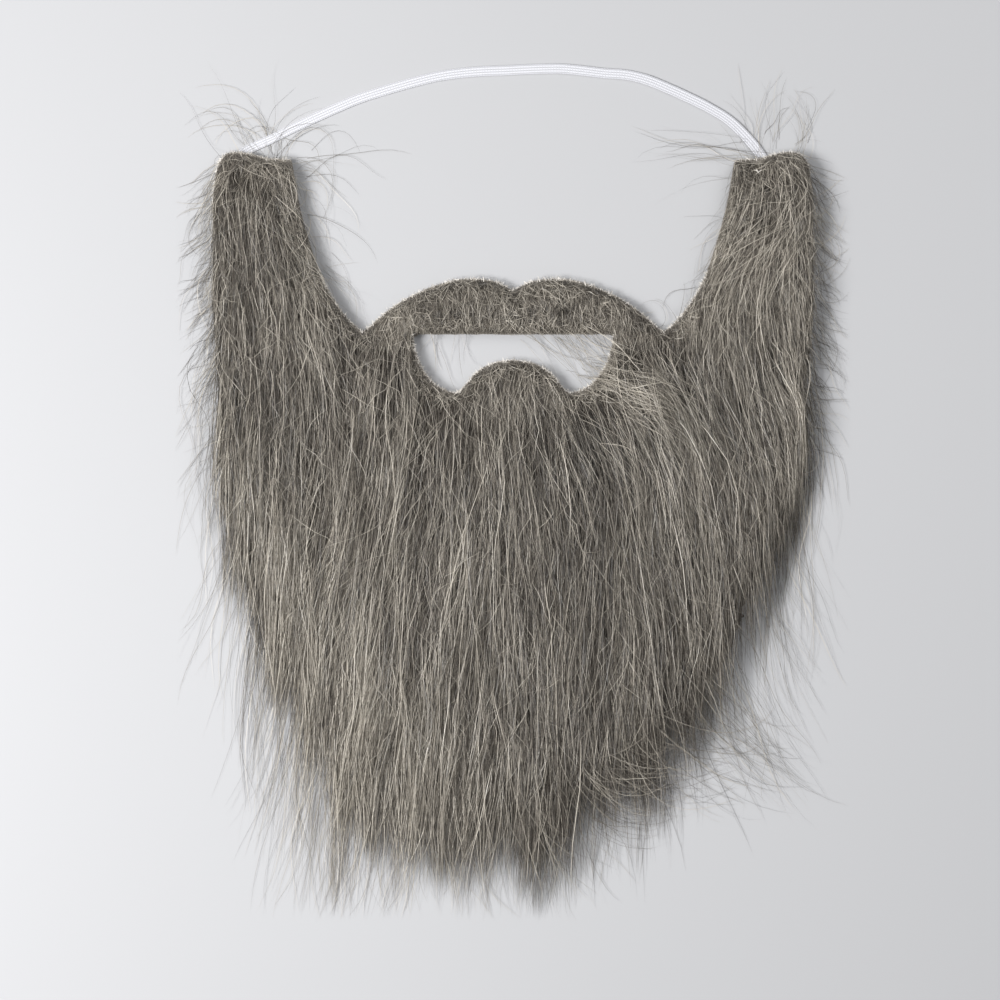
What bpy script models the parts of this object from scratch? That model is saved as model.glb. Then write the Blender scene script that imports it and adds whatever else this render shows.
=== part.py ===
"""Fake beard of long-pile fur fabric, lying on its back cloth with its elastic strap laid out above it.

Metres, +Z up, +Y towards the tabs that sit before the ears. The cloth's underside is at z = 0, and the
origin lies on it under the middle of the chin. The outline is drawn as one half and mirrored.
"""

import math
import random

import bmesh
import bpy
from mathutils import Vector

# Cloth: the overall outline
HALF_WIDTH = 0.1196  # centre line to the outer edge of a tab
MOUTH_LINE = 0.0774  # y of the straight upper edge of the mouth opening
TAB_HEIGHT = 0.0724  # mouth line to the top of a tab
TAB_WIDTH = 0.0310
JAW_LENGTH = 0.1690  # mouth line to the lower edge of the cloth
CLOTH_THICKNESS = 0.0012

# Cloth: the mouth and what surrounds it
MOUTH_WIDTH = 0.0800
MOUTH_HEIGHT = 0.0230
TONGUE_WIDTH = 0.0390  # patch of fur under the lower lip, at its foot
TONGUE_HEIGHT = 0.0128
MOUSTACHE_HEIGHT = 0.0220  # highest part of its upper edge above the mouth line
CORNER_WIDTH = 0.0200  # corner of the mouth to the notch beside the nose

# Elastic strap, sewn to the backs of the tabs
STRAP_WIDTH = 0.0040
STRAP_THICKNESS = 0.0009
STRAP_HOLD = 0.0100  # length of a tab's top that lies over the strap
STRAP_SLOPE = 0.0120  # length over which the tab comes down to the floor again
STRAP_POINTS = 44
STRAP_CURVE_STEPS = 6  # points that its smooth route gets between two given ones

# Fur
GAP = 0.0003  # between two pieces that touch
BED_INSET = 0.0012  # the dense foot of the pile stops short of the cloth's edge
BED_THICKNESS = 0.0060
BED_CLEARANCE = 0.97  # a corner of the bed stays if it keeps this share of the inset
BED_ROUNDING = 0.0016
MOUSTACHE_BED_THICKNESS = 0.0042
MOUSTACHE_BED_ROUNDING = 0.0006
HAIR_LENGTH = 0.0600  # the part of a lock that shows
LOCK_WIDTH = 0.0265
LOCK_THICKNESS = 0.0068
LOCK_RISE = 0.0042  # how far a lock climbs over the one below it
LOCK_ROOT_HEIGHT = 0.2  # a lock starts this high in the bed, as a share of its thickness
TAB_LOCK_WIDTH = 0.62  # share of the usual width
FRINGE_ROOT = 0.0130  # how far inside the cloth's edge the outermost locks start
DROP_START = 0.0060  # distance past the cloth's edge where a lock begins to sink
DROP_RUN = 0.0130  # distance over which it reaches the floor
MOUSTACHE_LOCK_WIDTH = 0.0130
MOUSTACHE_LOCK_THICKNESS = 0.0050
MOUSTACHE_LOCK_INSET = 0.0030  # from the edges of the moustache to the ends of its locks
MOUSTACHE_LOCKS = 11
MOUSTACHE_SPREAD = 0.74  # share of the notch's distance over which the locks are rooted
MOUSTACHE_LEAN = 16  # degrees outwards at the outermost lock
MOUSTACHE_DRAW = 0.94  # a lock's root as a share of its place in the row
MOUSTACHE_RISE = 0.15  # how far a lock climbs, as a share of its thickness
TONGUE_PLACES = (-0.45, 0.05, 0.5)  # the locks' roots as shares of half the tongue's width
TONGUE_ROOT = 0.45  # and of its height
TONGUE_LEAN = 12  # degrees outwards at the tongue's side
TONGUE_LENGTH = 2.6  # a lock's length as a share of the tongue's height

CURVE_STEPS = 3  # points that the smooth outline gets between two table rows
JAW_STEPS = 100  # equal steps along the jaw, in which the fringe's places are counted
SHARPEST_CORNER = 0.6  # least cosine between a corner's middle and the normals of its edges

# Side and top of the tongue, top to foot: shares of half its width and of its height
TONGUE_EDGE = ((0.00, 1.00), (0.42, 0.89), (0.74, 0.62), (0.93, 0.30))

# Lobe of the mouth beside the tongue, foot to corner: shares of its width and of the mouth's height
LOBE_EDGE = ((0.10, 1.00), (0.30, 0.99), (0.55, 0.88), (0.80, 0.62), (0.96, 0.27))

# Upper edge of the moustache, centre to notch: shares of the notch's distance and the moustache's height
MOUSTACHE_EDGE = (
    dict(across=0.00, up=0.79),
    dict(across=0.10, up=0.94),
    dict(across=0.23, up=1.00),
    dict(across=0.37, up=0.99),
    dict(across=0.53, up=0.87),
    dict(across=0.70, up=0.66),
    dict(across=0.85, up=0.39),
    dict(across=1.00, up=0.03),
)

# Inner edge of a tab, notch to upper inner corner: shares of that distance and of the tab's height
TAB_INNER_EDGE = (
    dict(across=0.22, up=0.09),
    dict(across=0.42, up=0.20),
    dict(across=0.62, up=0.35),
    dict(across=0.85, up=0.64),
    dict(across=0.93, up=0.80),
    dict(across=1.00, up=0.96),
)

# Top and outer edge of a tab: shares of the tab's width, from its inner corner, and of its height
TAB_OUTER_EDGE = (
    dict(across=0.30, up=0.965),
    dict(across=0.60, up=1.000),
    dict(across=0.83, up=0.995),
    dict(across=0.95, up=0.910),
    dict(across=1.00, up=0.710),
    dict(across=1.00, up=0.400),
)

# Cheek and jaw down to the chin: shares of the half width and of the jaw's length
JAW_EDGE = (
    dict(across=1.000, down=-0.055),
    dict(across=0.977, down=0.108),
    dict(across=0.920, down=0.273),
    dict(across=0.803, down=0.487),
    dict(across=0.619, down=0.700),
    dict(across=0.385, down=0.894),
    dict(across=0.167, down=0.984),
    dict(across=0.000, down=1.000),
)

# Rows of locks over the beard: place, spread, number, length and outward lean of the outer locks.
# The lengths are shares of the half width, the jaw's length and the hair's length.
BEARD_ROWS = (
    dict(down=0.190, spread=0.78, locks=9, length=0.78, lean=4),
    dict(down=0.360, spread=0.72, locks=8, length=0.86, lean=8),
    dict(down=0.530, spread=0.60, locks=7, length=0.92, lean=10),
    dict(down=0.700, spread=0.42, locks=5, length=0.92, lean=10),
    dict(down=0.850, spread=0.16, locks=2, length=0.95, lean=6),
)

# Rows of locks down each tab and cheek: shares of the tab's height, the half width and the hair's length
TAB_ROWS = (
    dict(up=0.90, inner=0.825, outer=0.925, locks=2, length=0.66, lean=0),
    dict(up=0.52, inner=0.795, outer=0.925, locks=2, length=0.68, lean=0),
    dict(up=0.16, inner=0.645, outer=0.915, locks=3, length=0.60, lean=-2),
    dict(up=-0.12, inner=0.470, outer=0.700, locks=2, length=0.50, lean=4),
)

# Locks that hang past the jaw: place along the jaw's edge, length on each side, outward lean.
# The hair is longer and fuller on the left. Lengths are shares of the hair's length.
FRINGE_ROWS = (
    dict(along=0.10, left=0.84, right=0.80, lean=4),
    dict(along=0.24, left=0.96, right=0.88, lean=1),
    dict(along=0.37, left=1.04, right=0.94, lean=0),
    dict(along=0.49, left=1.12, right=0.96, lean=1),
    dict(along=0.60, left=1.18, right=0.90, lean=4),
    dict(along=0.71, left=1.12, right=0.82, lean=7),
    dict(along=0.81, left=1.02, right=0.80, lean=6),
    dict(along=0.90, left=0.90, right=0.86, lean=4),
    dict(along=0.97, left=0.80, right=0.84, lean=2),
)

# Shape of one lock: share of its length, of its section and of its rise
LOCK_STATIONS = (
    dict(along=0.00, section=0.60, rise=0.00),
    dict(along=0.22, section=0.95, rise=0.40),
    dict(along=0.50, section=1.00, rise=0.60),
    dict(along=0.78, section=0.72, rise=0.80),
    dict(along=1.00, section=0.32, rise=1.00),
)

# Corners of a flat section, as shares of its width and thickness
SECTION = ((-0.5, -0.22), (-0.24, 0.44), (0.2, 0.5), (0.5, -0.22), (0.0, -0.5))

# Route of the elastic strap on the floor, from its left end to its right end, chosen by hand
STRAP_ROUTE = (
    (-0.1092, 0.1412),
    (-0.1093, 0.1452),
    (-0.1082, 0.1493),
    (-0.1048, 0.1518),
    (-0.0964, 0.1556),
    (-0.0880, 0.1598),
    (-0.0796, 0.1638),
    (-0.0712, 0.1676),
    (-0.0628, 0.1712),
    (-0.0544, 0.1740),
    (-0.0460, 0.1765),
    (-0.0376, 0.1788),
    (-0.0292, 0.1807),
    (-0.0208, 0.1819),
    (-0.0124, 0.1826),
    (-0.0040, 0.1829),
    (0.0044, 0.1833),
    (0.0128, 0.1836),
    (0.0200, 0.1836),
    (0.0284, 0.1828),
    (0.0368, 0.1818),
    (0.0452, 0.1812),
    (0.0536, 0.1792),
    (0.0620, 0.1758),
    (0.0704, 0.1720),
    (0.0788, 0.1678),
    (0.0872, 0.1624),
    (0.0950, 0.1545),
    (0.0992, 0.1489),
    (0.1012, 0.1448),
    (0.1018, 0.1405),
)

# Worked out from the sizes above
NOTCH_X = MOUTH_WIDTH / 2 + CORNER_WIDTH
TAB_INNER_X = HALF_WIDTH - TAB_WIDTH
TAB_TOP = MOUTH_LINE + TAB_HEIGHT
LIFT = STRAP_THICKNESS + GAP
PILE_FOOT = CLOTH_THICKNESS + GAP
LOCK_FOOT = PILE_FOOT + LOCK_ROOT_HEIGHT * BED_THICKNESS

rng = random.Random(7)


def clear_scene():
    for old in list(bpy.data.objects):
        bpy.data.objects.remove(old, do_unlink=True)


def make_collection(name):
    collection = bpy.data.collections.new(name)
    bpy.context.scene.collection.children.link(collection)
    return collection


def make_material(name, colour, roughness):
    material = bpy.data.materials.new(name)
    material.use_nodes = True
    shader = material.node_tree.nodes["Principled BSDF"]
    shader.inputs["Base Color"].default_value = (*colour, 1)
    shader.inputs["Roughness"].default_value = roughness
    shader.inputs["Metallic"].default_value = 0
    return material


def smooth(points, steps):
    """Points on a Catmull-Rom curve through the given ones."""
    ends = [2 * points[0] - points[1], *points, 2 * points[-1] - points[-2]]
    curve = []
    for a, b, c, d in zip(ends, ends[1:], ends[2:], ends[3:]):
        for step in range(steps):
            t = step / steps
            cubic = (3 * b - a - 3 * c + d) * t + 2 * a - 5 * b + 4 * c - d
            curve.append(((cubic * t + c - a) * t + 2 * b) / 2)
    return [*curve, points[-1].copy()]


def resample(points, count):
    """Points at equal distances along a polyline."""
    lengths = [0.0]
    for a, b in zip(points, points[1:]):
        lengths.append(lengths[-1] + (b - a).length)
    result = []
    segment = 0
    for i in range(count):
        target = lengths[-1] * i / (count - 1)
        while segment < len(points) - 2 and lengths[segment + 1] < target:
            segment += 1
        share = (target - lengths[segment]) / (lengths[segment + 1] - lengths[segment])
        result.append(points[segment].lerp(points[segment + 1], share))
    return result


def mirrored(half):
    """The whole closed outline of a half that starts and ends on the centre line."""
    other = [Vector((-p.x, p.y)) for p in reversed(half[1:-1])]
    return [*half, *other]


def moustache_edge():
    return smooth(
        [
            Vector((NOTCH_X * row["across"], MOUTH_LINE + MOUSTACHE_HEIGHT * row["up"]))
            for row in MOUSTACHE_EDGE
        ],
        CURVE_STEPS,
    )


def tab_and_jaw_edge():
    """The right half from the notch up the tab, round it and down to the chin."""
    notch = moustache_edge()[-1]
    inner = [
        Vector((notch.x + (TAB_INNER_X - notch.x) * row["across"], MOUTH_LINE + TAB_HEIGHT * row["up"]))
        for row in TAB_INNER_EDGE
    ]
    outer = [
        Vector((TAB_INNER_X + TAB_WIDTH * row["across"], MOUTH_LINE + TAB_HEIGHT * row["up"]))
        for row in TAB_OUTER_EDGE
    ]
    return smooth([notch, *inner], CURVE_STEPS) + smooth([*outer, *jaw_points()], CURVE_STEPS)


def jaw_points():
    return [
        Vector((HALF_WIDTH * row["across"], MOUTH_LINE - JAW_LENGTH * row["down"]))
        for row in JAW_EDGE
    ]


def mouth_lower_edge():
    """The right half from the top of the tongue, down its side and round the lobe to the corner."""
    tongue = TONGUE_WIDTH / 2
    bottom = MOUTH_LINE - MOUTH_HEIGHT
    lobe_width = MOUTH_WIDTH / 2 - tongue
    side = [
        Vector((tongue * across, bottom + TONGUE_HEIGHT * up))
        for across, up in TONGUE_EDGE
    ]
    lobe = [
        Vector((tongue + lobe_width * across, MOUTH_LINE - MOUTH_HEIGHT * down))
        for across, down in LOBE_EDGE
    ]
    return smooth([*side, *lobe, Vector((MOUTH_WIDTH / 2, MOUTH_LINE))], CURVE_STEPS)


def cloth_outline():
    return mirrored(moustache_edge() + tab_and_jaw_edge()[1:])


def mouth_outline():
    return mirrored([*mouth_lower_edge(), Vector((0, MOUTH_LINE))])


def beard_outline():
    """What carries fur below the mouth line, with both tabs."""
    jaw = tab_and_jaw_edge()
    return mirrored([*mouth_lower_edge(), *jaw])


def moustache_outline():
    """What carries fur above the mouth line."""
    edge = moustache_edge()
    return mirrored([*edge, Vector((MOUTH_WIDTH / 2, MOUTH_LINE)), Vector((0, MOUTH_LINE))])


def signed_area(outline):
    return sum(a.x * b.y - b.x * a.y for a, b in zip(outline, outline[1:] + outline[:1])) / 2


def moved_inwards(outline, distance):
    """Each corner moved along the middle of its two edges' normals."""
    turn = math.copysign(1, signed_area(outline))
    moved = []
    for before, point, after in zip(outline[-1:] + outline[:-1], outline, outline[1:] + outline[:1]):
        first = (point - before).normalized()
        second = (after - point).normalized()
        normals = [Vector((-edge.y, edge.x)) * turn for edge in (first, second)]
        middle = (normals[0] + normals[1]).normalized()
        moved.append(point + middle * distance / max(SHARPEST_CORNER, middle.dot(normals[0])))
    return moved


def inset(outline, distance, rounding):
    """The outline moved inwards, without the corners that would fold over once its edge is rounded."""
    reach = distance + rounding
    near = moved_inwards(outline, distance)
    far = moved_inwards(outline, reach)
    kept = -BED_CLEARANCE * reach
    return [a for a, b in zip(near, far) if distance_outside(outline, b) < kept]


def distance_outside(outline, point):
    """Distance from the outline, negative inside it."""
    nearest = math.inf
    inside = False
    for a, b in zip(outline, outline[1:] + outline[:1]):
        edge = b - a
        share = min(1, max(0, (point - a).dot(edge) / edge.length_squared))
        nearest = min(nearest, (point - a - edge * share).length)
        if (a.y > point.y) != (b.y > point.y):
            if point.x < a.x + edge.x * (point.y - a.y) / edge.y:
                inside = not inside
    return -nearest if inside else nearest


def outline_curve(name, outlines, thickness, bottom, rounding=0.0):
    """A flat filled curve object with a hole for each outline after the first."""
    curve = bpy.data.curves.new(name, "CURVE")
    curve.dimensions = "2D"
    curve.fill_mode = "BOTH"
    curve.extrude = thickness / 2 - rounding
    curve.bevel_depth = rounding
    curve.bevel_resolution = 0
    curve.offset = -rounding
    for outline in outlines:
        spline = curve.splines.new("POLY")
        spline.points.add(len(outline) - 1)
        spline.use_cyclic_u = True
        for place, point in zip(spline.points, outline):
            place.co = (point.x, point.y, 0, 1)
    body = bpy.data.objects.new(name, curve)
    bpy.context.scene.collection.objects.link(body)
    body.location.z = bottom + thickness / 2
    return body


def swept_curve(name, points, sizes, width, thickness):
    """A flat tapering tube, as wide as the given width across the floor's plane."""
    section_name = f"{name}_section"
    section = bpy.data.curves.new(section_name, "CURVE")
    section.dimensions = "2D"
    corners = section.splines.new("POLY")
    corners.points.add(len(SECTION) - 1)
    corners.use_cyclic_u = True
    for place, (across, up) in zip(corners.points, SECTION):
        place.co = (across * width, up * thickness, 0, 1)
    section_body = bpy.data.objects.new(section_name, section)
    bpy.context.scene.collection.objects.link(section_body)

    curve = bpy.data.curves.new(name, "CURVE")
    curve.dimensions = "3D"
    curve.twist_mode = "Z_UP"
    curve.bevel_mode = "OBJECT"
    curve.bevel_object = section_body
    curve.use_fill_caps = True
    spline = curve.splines.new("POLY")
    spline.points.add(len(points) - 1)
    for place, point, size in zip(spline.points, points, sizes):
        place.co = (*point, 1)
        place.radius = size
    body = bpy.data.objects.new(name, curve)
    bpy.context.scene.collection.objects.link(body)
    return body, section_body


def made_mesh(body, *helpers):
    """The mesh object of a curve object, closed, with the curve and its helpers removed."""
    bpy.context.view_layer.update()
    evaluated = body.evaluated_get(bpy.context.evaluated_depsgraph_get())
    mesh = bpy.data.meshes.new_from_object(evaluated)
    work = bmesh.new()
    work.from_mesh(mesh)
    bmesh.ops.remove_doubles(work, verts=work.verts, dist=1e-6)
    bmesh.ops.recalc_face_normals(work, faces=work.faces)
    work.to_mesh(mesh)
    work.free()
    name = body.name
    placed = body.matrix_world.copy()
    for old in (body, *helpers):
        bpy.data.objects.remove(old, do_unlink=True)
    solid = bpy.data.objects.new(name, mesh)
    solid.matrix_world = placed
    return solid


def lay_over_strap(solid):
    """Raise the tops of the tabs over the strap's sewn ends."""
    slope_top = TAB_TOP - STRAP_HOLD
    slope_foot = slope_top - STRAP_SLOPE
    offset = solid.matrix_world.translation
    work = bmesh.new()
    work.from_mesh(solid.data)
    for height in (slope_foot, slope_top):
        everything = [*work.verts, *work.edges, *work.faces]
        place = Vector((0, height, 0)) - offset
        bmesh.ops.bisect_plane(work, geom=everything, plane_co=place, plane_no=(0, 1, 0), dist=1e-6)
    for vertex in work.verts:
        climbed = (vertex.co.y + offset.y - slope_foot) / STRAP_SLOPE
        vertex.co.z += LIFT * min(1, max(0, climbed))
    work.to_mesh(solid.data)
    work.free()


def lock(name, root, heading, length, width, thickness, rise, bend=0.0):
    """One lock of hair: it starts in the bed, climbs, and beyond the cloth comes down to the floor."""
    outline = cloth_outline()
    points = []
    place = Vector(root)
    travelled = 0.0
    sizes = []
    for station in LOCK_STATIONS:
        step = station["along"] * length - travelled
        angle = math.radians(heading + bend * station["along"])
        place = place + Vector((math.sin(angle), -math.cos(angle))) * step
        travelled += step
        past = distance_outside(outline, place)
        sunk = min(1, max(0, (past - DROP_START) / DROP_RUN))
        foot = LOCK_FOOT + rise * station["rise"]
        foot = foot + (GAP - foot) * sunk
        points.append(Vector((place.x, place.y, foot + thickness * station["section"] / 2)))
        sizes.append(station["section"])
    return made_mesh(*swept_curve(name, points, sizes, width, thickness))


def spread_locks(prefix, y, left, right, row):
    """One row of locks side by side, leaning outwards more the further out they are."""
    count = row["locks"]
    made = []
    for i in range(count):
        x = left + (right - left) * i / (count - 1)
        made.append(
            lock(
                f"{prefix}_{i}",
                (x, y + rng.uniform(-0.05, 0.05) * LOCK_WIDTH),
                row["lean"] * x / HALF_WIDTH + rng.uniform(-4, 4),
                HAIR_LENGTH * row["length"] * rng.uniform(0.93, 1.07),
                LOCK_WIDTH * row.get("width", 1) * rng.uniform(0.92, 1.08),
                LOCK_THICKNESS * rng.uniform(0.90, 1.10),
                LOCK_RISE * rng.uniform(0.85, 1.15),
                rng.uniform(-8, 8),
            )
        )
    return made


def beard_locks():
    made = []
    for index, row in enumerate(BEARD_ROWS):
        reach = HALF_WIDTH * row["spread"]
        made += spread_locks(f"beard_row_{index}", MOUTH_LINE - JAW_LENGTH * row["down"], -reach, reach, row)
    return made


def tab_locks():
    made = []
    for index, row in enumerate(TAB_ROWS):
        inner = HALF_WIDTH * row["inner"]
        outer = HALF_WIDTH * row["outer"]
        y = MOUTH_LINE + TAB_HEIGHT * row["up"]
        narrow = {**row, "width": TAB_LOCK_WIDTH}
        made += spread_locks(f"tab_left_{index}", y, -outer, -inner, narrow)
        made += spread_locks(f"tab_right_{index}", y, inner, outer, narrow)
    return made


def fringe_locks():
    """Locks rooted just inside the jaw's edge that hang past it."""
    edge = resample(smooth(jaw_points(), CURVE_STEPS), JAW_STEPS + 1)
    made = []
    for index, row in enumerate(FRINGE_ROWS):
        at = round(row["along"] * JAW_STEPS)
        along = (edge[min(JAW_STEPS, at + 1)] - edge[at - 1]).normalized()
        root = edge[at] + Vector((along.y, -along.x)) * FRINGE_ROOT
        for side, word in ((-1, "left"), (1, "right")):
            made.append(
                lock(
                    f"fringe_{word}_{index}",
                    (root.x * side, root.y),
                    side * row["lean"] + rng.uniform(-2, 2),
                    FRINGE_ROOT + HAIR_LENGTH * row[word],
                    LOCK_WIDTH * rng.uniform(0.82, 0.98),
                    LOCK_THICKNESS * rng.uniform(0.85, 1.0),
                    LOCK_RISE * rng.uniform(0.3, 0.6),
                    rng.uniform(-5, 5),
                )
            )
    return made


def tongue_locks():
    """Short fur on the patch under the lower lip."""
    made = []
    foot = MOUTH_LINE - MOUTH_HEIGHT
    for index, side in enumerate(TONGUE_PLACES):
        made.append(
            lock(
                f"tongue_{index}",
                (side * TONGUE_WIDTH / 2, foot + TONGUE_HEIGHT * TONGUE_ROOT),
                side * TONGUE_LEAN,
                TONGUE_HEIGHT * TONGUE_LENGTH,
                TONGUE_WIDTH * rng.uniform(0.30, 0.34),
                LOCK_THICKNESS * rng.uniform(0.7, 0.8),
                LOCK_RISE * rng.uniform(0.5, 0.7),
            )
        )
    return made


def moustache_locks():
    """Short locks combed down and outwards that end just above the mouth."""
    edge = moustache_edge()
    reach = NOTCH_X * MOUSTACHE_SPREAD
    made = []
    for i in range(MOUSTACHE_LOCKS):
        x = reach * (2 * i / (MOUSTACHE_LOCKS - 1) - 1)
        after = next(k for k, point in enumerate(edge) if point.x >= abs(x))
        top = edge[max(0, after - 1)].lerp(edge[after], 0.5).y
        lean = MOUSTACHE_LEAN * x / reach + rng.uniform(-3, 3)
        root = top - MOUSTACHE_LOCK_INSET
        length = (root - MOUTH_LINE - MOUSTACHE_LOCK_INSET) / math.cos(math.radians(lean))
        made.append(
            lock(
                f"moustache_{i}",
                (x * MOUSTACHE_DRAW, root),
                lean,
                length,
                MOUSTACHE_LOCK_WIDTH * rng.uniform(0.9, 1.1),
                MOUSTACHE_LOCK_THICKNESS * rng.uniform(0.9, 1.1),
                MOUSTACHE_LOCK_THICKNESS * MOUSTACHE_RISE,
            )
        )
    return made


def fill_pockets(work):
    """Remove the walls of the air pockets that the locks close off, so only the outer skin is left."""
    left = set(work.verts)
    shells = []
    while left:
        shell = {left.pop()}
        front = list(shell)
        while front:
            for edge in front.pop().link_edges:
                for vertex in edge.verts:
                    if vertex in left:
                        left.remove(vertex)
                        shell.add(vertex)
                        front.append(vertex)
        shells.append(shell)
    skin = max(shells, key=len)
    for shell in shells:
        if shell is not skin:
            bmesh.ops.delete(work, geom=list(shell), context="VERTS")


def fused(name, bed, locks, collection, material):
    """One solid of the bed and all its locks."""
    guides = bpy.data.collections.new(f"{name}_locks")
    bpy.context.scene.collection.children.link(guides)
    for body in locks:
        guides.objects.link(body)
    bpy.context.scene.collection.objects.link(bed)
    union = bed.modifiers.new("union", "BOOLEAN")
    union.operation = "UNION"
    union.solver = "EXACT"
    union.operand_type = "COLLECTION"
    union.collection = guides
    bpy.context.view_layer.update()
    evaluated = bed.evaluated_get(bpy.context.evaluated_depsgraph_get())
    mesh = bpy.data.meshes.new_from_object(evaluated)
    mesh.transform(bed.matrix_world)
    work = bmesh.new()
    work.from_mesh(mesh)
    fill_pockets(work)
    bmesh.ops.triangulate(work, faces=work.faces)
    work.to_mesh(mesh)
    work.free()
    for old in (bed, *locks):
        bpy.data.objects.remove(old, do_unlink=True)
    bpy.data.collections.remove(guides)
    solid = bpy.data.objects.new(name, mesh)
    finish(solid, collection, material)
    return solid


def finish(solid, collection, material):
    collection.objects.link(solid)
    solid.data.materials.clear()
    solid.data.materials.append(material)


def backing_cloth(collection, material):
    outlines = (cloth_outline(), mouth_outline())
    cloth = made_mesh(outline_curve("backing_cloth", outlines, CLOTH_THICKNESS, 0))
    lay_over_strap(cloth)
    finish(cloth, collection, material)


def beard_fur(collection, material):
    outline = inset(beard_outline(), BED_INSET, BED_ROUNDING)
    bed = made_mesh(outline_curve("beard_bed", [outline], BED_THICKNESS, PILE_FOOT, BED_ROUNDING))
    locks = tab_locks() + tongue_locks() + beard_locks() + fringe_locks()
    lay_over_strap(fused("beard_fur", bed, locks, collection, material))


def moustache_fur(collection, material):
    outline = inset(moustache_outline(), BED_INSET, MOUSTACHE_BED_ROUNDING)
    bed = made_mesh(
        outline_curve(
            "moustache_bed", [outline], MOUSTACHE_BED_THICKNESS, PILE_FOOT, MOUSTACHE_BED_ROUNDING
        )
    )
    fused("moustache_fur", bed, moustache_locks(), collection, material)


def elastic_strap(collection, material):
    """A flat band on the floor, with its ends under the tabs."""
    height = STRAP_THICKNESS / 2
    route = [Vector((x, y, height)) for x, y in STRAP_ROUTE]
    points = resample(smooth(route, STRAP_CURVE_STEPS), STRAP_POINTS)
    sizes = [1] * STRAP_POINTS
    strap = made_mesh(*swept_curve("elastic_strap", points, sizes, STRAP_WIDTH, STRAP_THICKNESS))
    finish(strap, collection, material)


def main():
    clear_scene()
    beard = make_collection("fake_beard")
    knit = make_material("grey_knit", (0.22, 0.19, 0.16), 0.9)
    fur = make_material("taupe_fur", (0.17, 0.15, 0.13), 0.6)
    elastic = make_material("white_elastic", (0.80, 0.80, 0.82), 0.7)
    backing_cloth(beard, knit)
    beard_fur(beard, fur)
    moustache_fur(beard, fur)
    elastic_strap(beard, elastic)


main()
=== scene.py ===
import math
from functools import lru_cache
from typing import NamedTuple

import bpy
import numpy as np
from bpy.props import FloatProperty, FloatVectorProperty, IntProperty, PointerProperty
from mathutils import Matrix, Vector, geometry
from mathutils.bvhtree import BVHTree
from mathutils.kdtree import KDTree


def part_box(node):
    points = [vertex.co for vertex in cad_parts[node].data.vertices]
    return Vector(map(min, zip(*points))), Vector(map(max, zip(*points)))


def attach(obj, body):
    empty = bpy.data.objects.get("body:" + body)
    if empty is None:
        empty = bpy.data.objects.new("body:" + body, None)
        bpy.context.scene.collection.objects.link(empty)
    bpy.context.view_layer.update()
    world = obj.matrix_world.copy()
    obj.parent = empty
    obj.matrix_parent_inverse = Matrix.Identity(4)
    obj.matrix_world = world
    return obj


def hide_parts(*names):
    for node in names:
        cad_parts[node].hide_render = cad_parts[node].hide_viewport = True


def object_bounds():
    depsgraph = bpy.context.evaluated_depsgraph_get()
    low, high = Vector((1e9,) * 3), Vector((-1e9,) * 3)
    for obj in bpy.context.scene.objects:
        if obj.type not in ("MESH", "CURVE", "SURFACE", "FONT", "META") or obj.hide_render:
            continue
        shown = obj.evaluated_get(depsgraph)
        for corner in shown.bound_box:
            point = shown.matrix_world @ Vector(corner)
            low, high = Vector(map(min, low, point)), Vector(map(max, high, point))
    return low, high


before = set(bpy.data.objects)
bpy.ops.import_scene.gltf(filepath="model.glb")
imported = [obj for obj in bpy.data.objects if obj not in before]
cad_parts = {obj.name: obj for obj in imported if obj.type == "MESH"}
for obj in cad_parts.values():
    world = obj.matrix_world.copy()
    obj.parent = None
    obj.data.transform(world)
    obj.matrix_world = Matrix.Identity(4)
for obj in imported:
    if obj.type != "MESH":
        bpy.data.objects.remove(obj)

bl_info = {
    "name": "Fake Beard Dresser",
    "version": (1, 0, 0),
    "blender": (4, 5, 0),
    "location": "View3D > Sidebar > Beard",
    "description": "Dresses a fake beard in strands, knitted backing, elastic and stitches",
    "category": "Add Mesh",
}

# The model's boxes and places, in metres
BODY = "root"
CAD_LOW, CAD_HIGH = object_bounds()
CLOTH_LOW, CLOTH_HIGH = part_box("backing_cloth")
_, LIP_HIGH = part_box("moustache_fur")
TAB_TOP = CLOTH_HIGH.y
TAB_FOOT = 0.0660  # the tabs' own strands are rooted above this line
BEARD_TOP = 0.0775  # the long beard's strands are rooted below this one
FRINGE_TOP = 0.0600  # and the fringe's below this one
FUR_SIDE = 0.1250  # no strand is rooted further out
NOTCH_X = 0.0533  # from here outwards the long pile begins
CHIN_X = 0.0350  # the chin's strands are rooted up to here on both sides
LIP_PATCH_X = 0.0235  # and those of the patch under the lip up to here
CLOTH_THICKNESS = 0.0012
PILE_FOOT = 0.0015  # height at which the fur begins above the floor
FACES_DOWN = -0.5  # a face whose normal has less z than this looks at the floor

# The strands stay this close to the model's own box and this high over the floor
LOOSE_REACH = 0.0150
LOOSE_HEIGHT = 0.0085
LOWEST = 0.0001

# The grid on which values over the floor plan are kept
GRID_MARGIN = 0.0300
GRID_PITCH = 0.0015
LAST_CELL = 1.001  # a spot this far before a grid's end still has a next point

# The dense foot of the pile under the strands
FOOT_SHARE = 0.72  # of the fur's height, the rest is loose strands
FOOT_VOXEL = 0.0025
LIP_VOXEL = 0.0013
FOOT_SMOOTHING = 4  # rounds
ROOT_DEPTH = 0.0012  # a strand starts this far down in the foot
FULL_FOOT = 0.0045  # over a foot of this height the pile has its full loft
LEAST_LOFT = 0.30  # and on the floor this share of it
EDGE_SLOPE = 0.0050  # the pile rises over this distance from an edge that it grows away from
EDGE_DROP = 0.90  # share of its height that it lacks at such an edge
PAST_START = 0.0100  # past the outer edge by this much, the pile begins to thin
PAST_RUN = 0.0350
PAST_DROP = 0.55  # share of its height that it lacks after that run
FOOT_PAST_EDGE = 0.0045  # the foot's locks are drawn in beyond this distance past the edge
FOOT_DRAW_IN = 0.80  # by this share of what reaches beyond it

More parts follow.
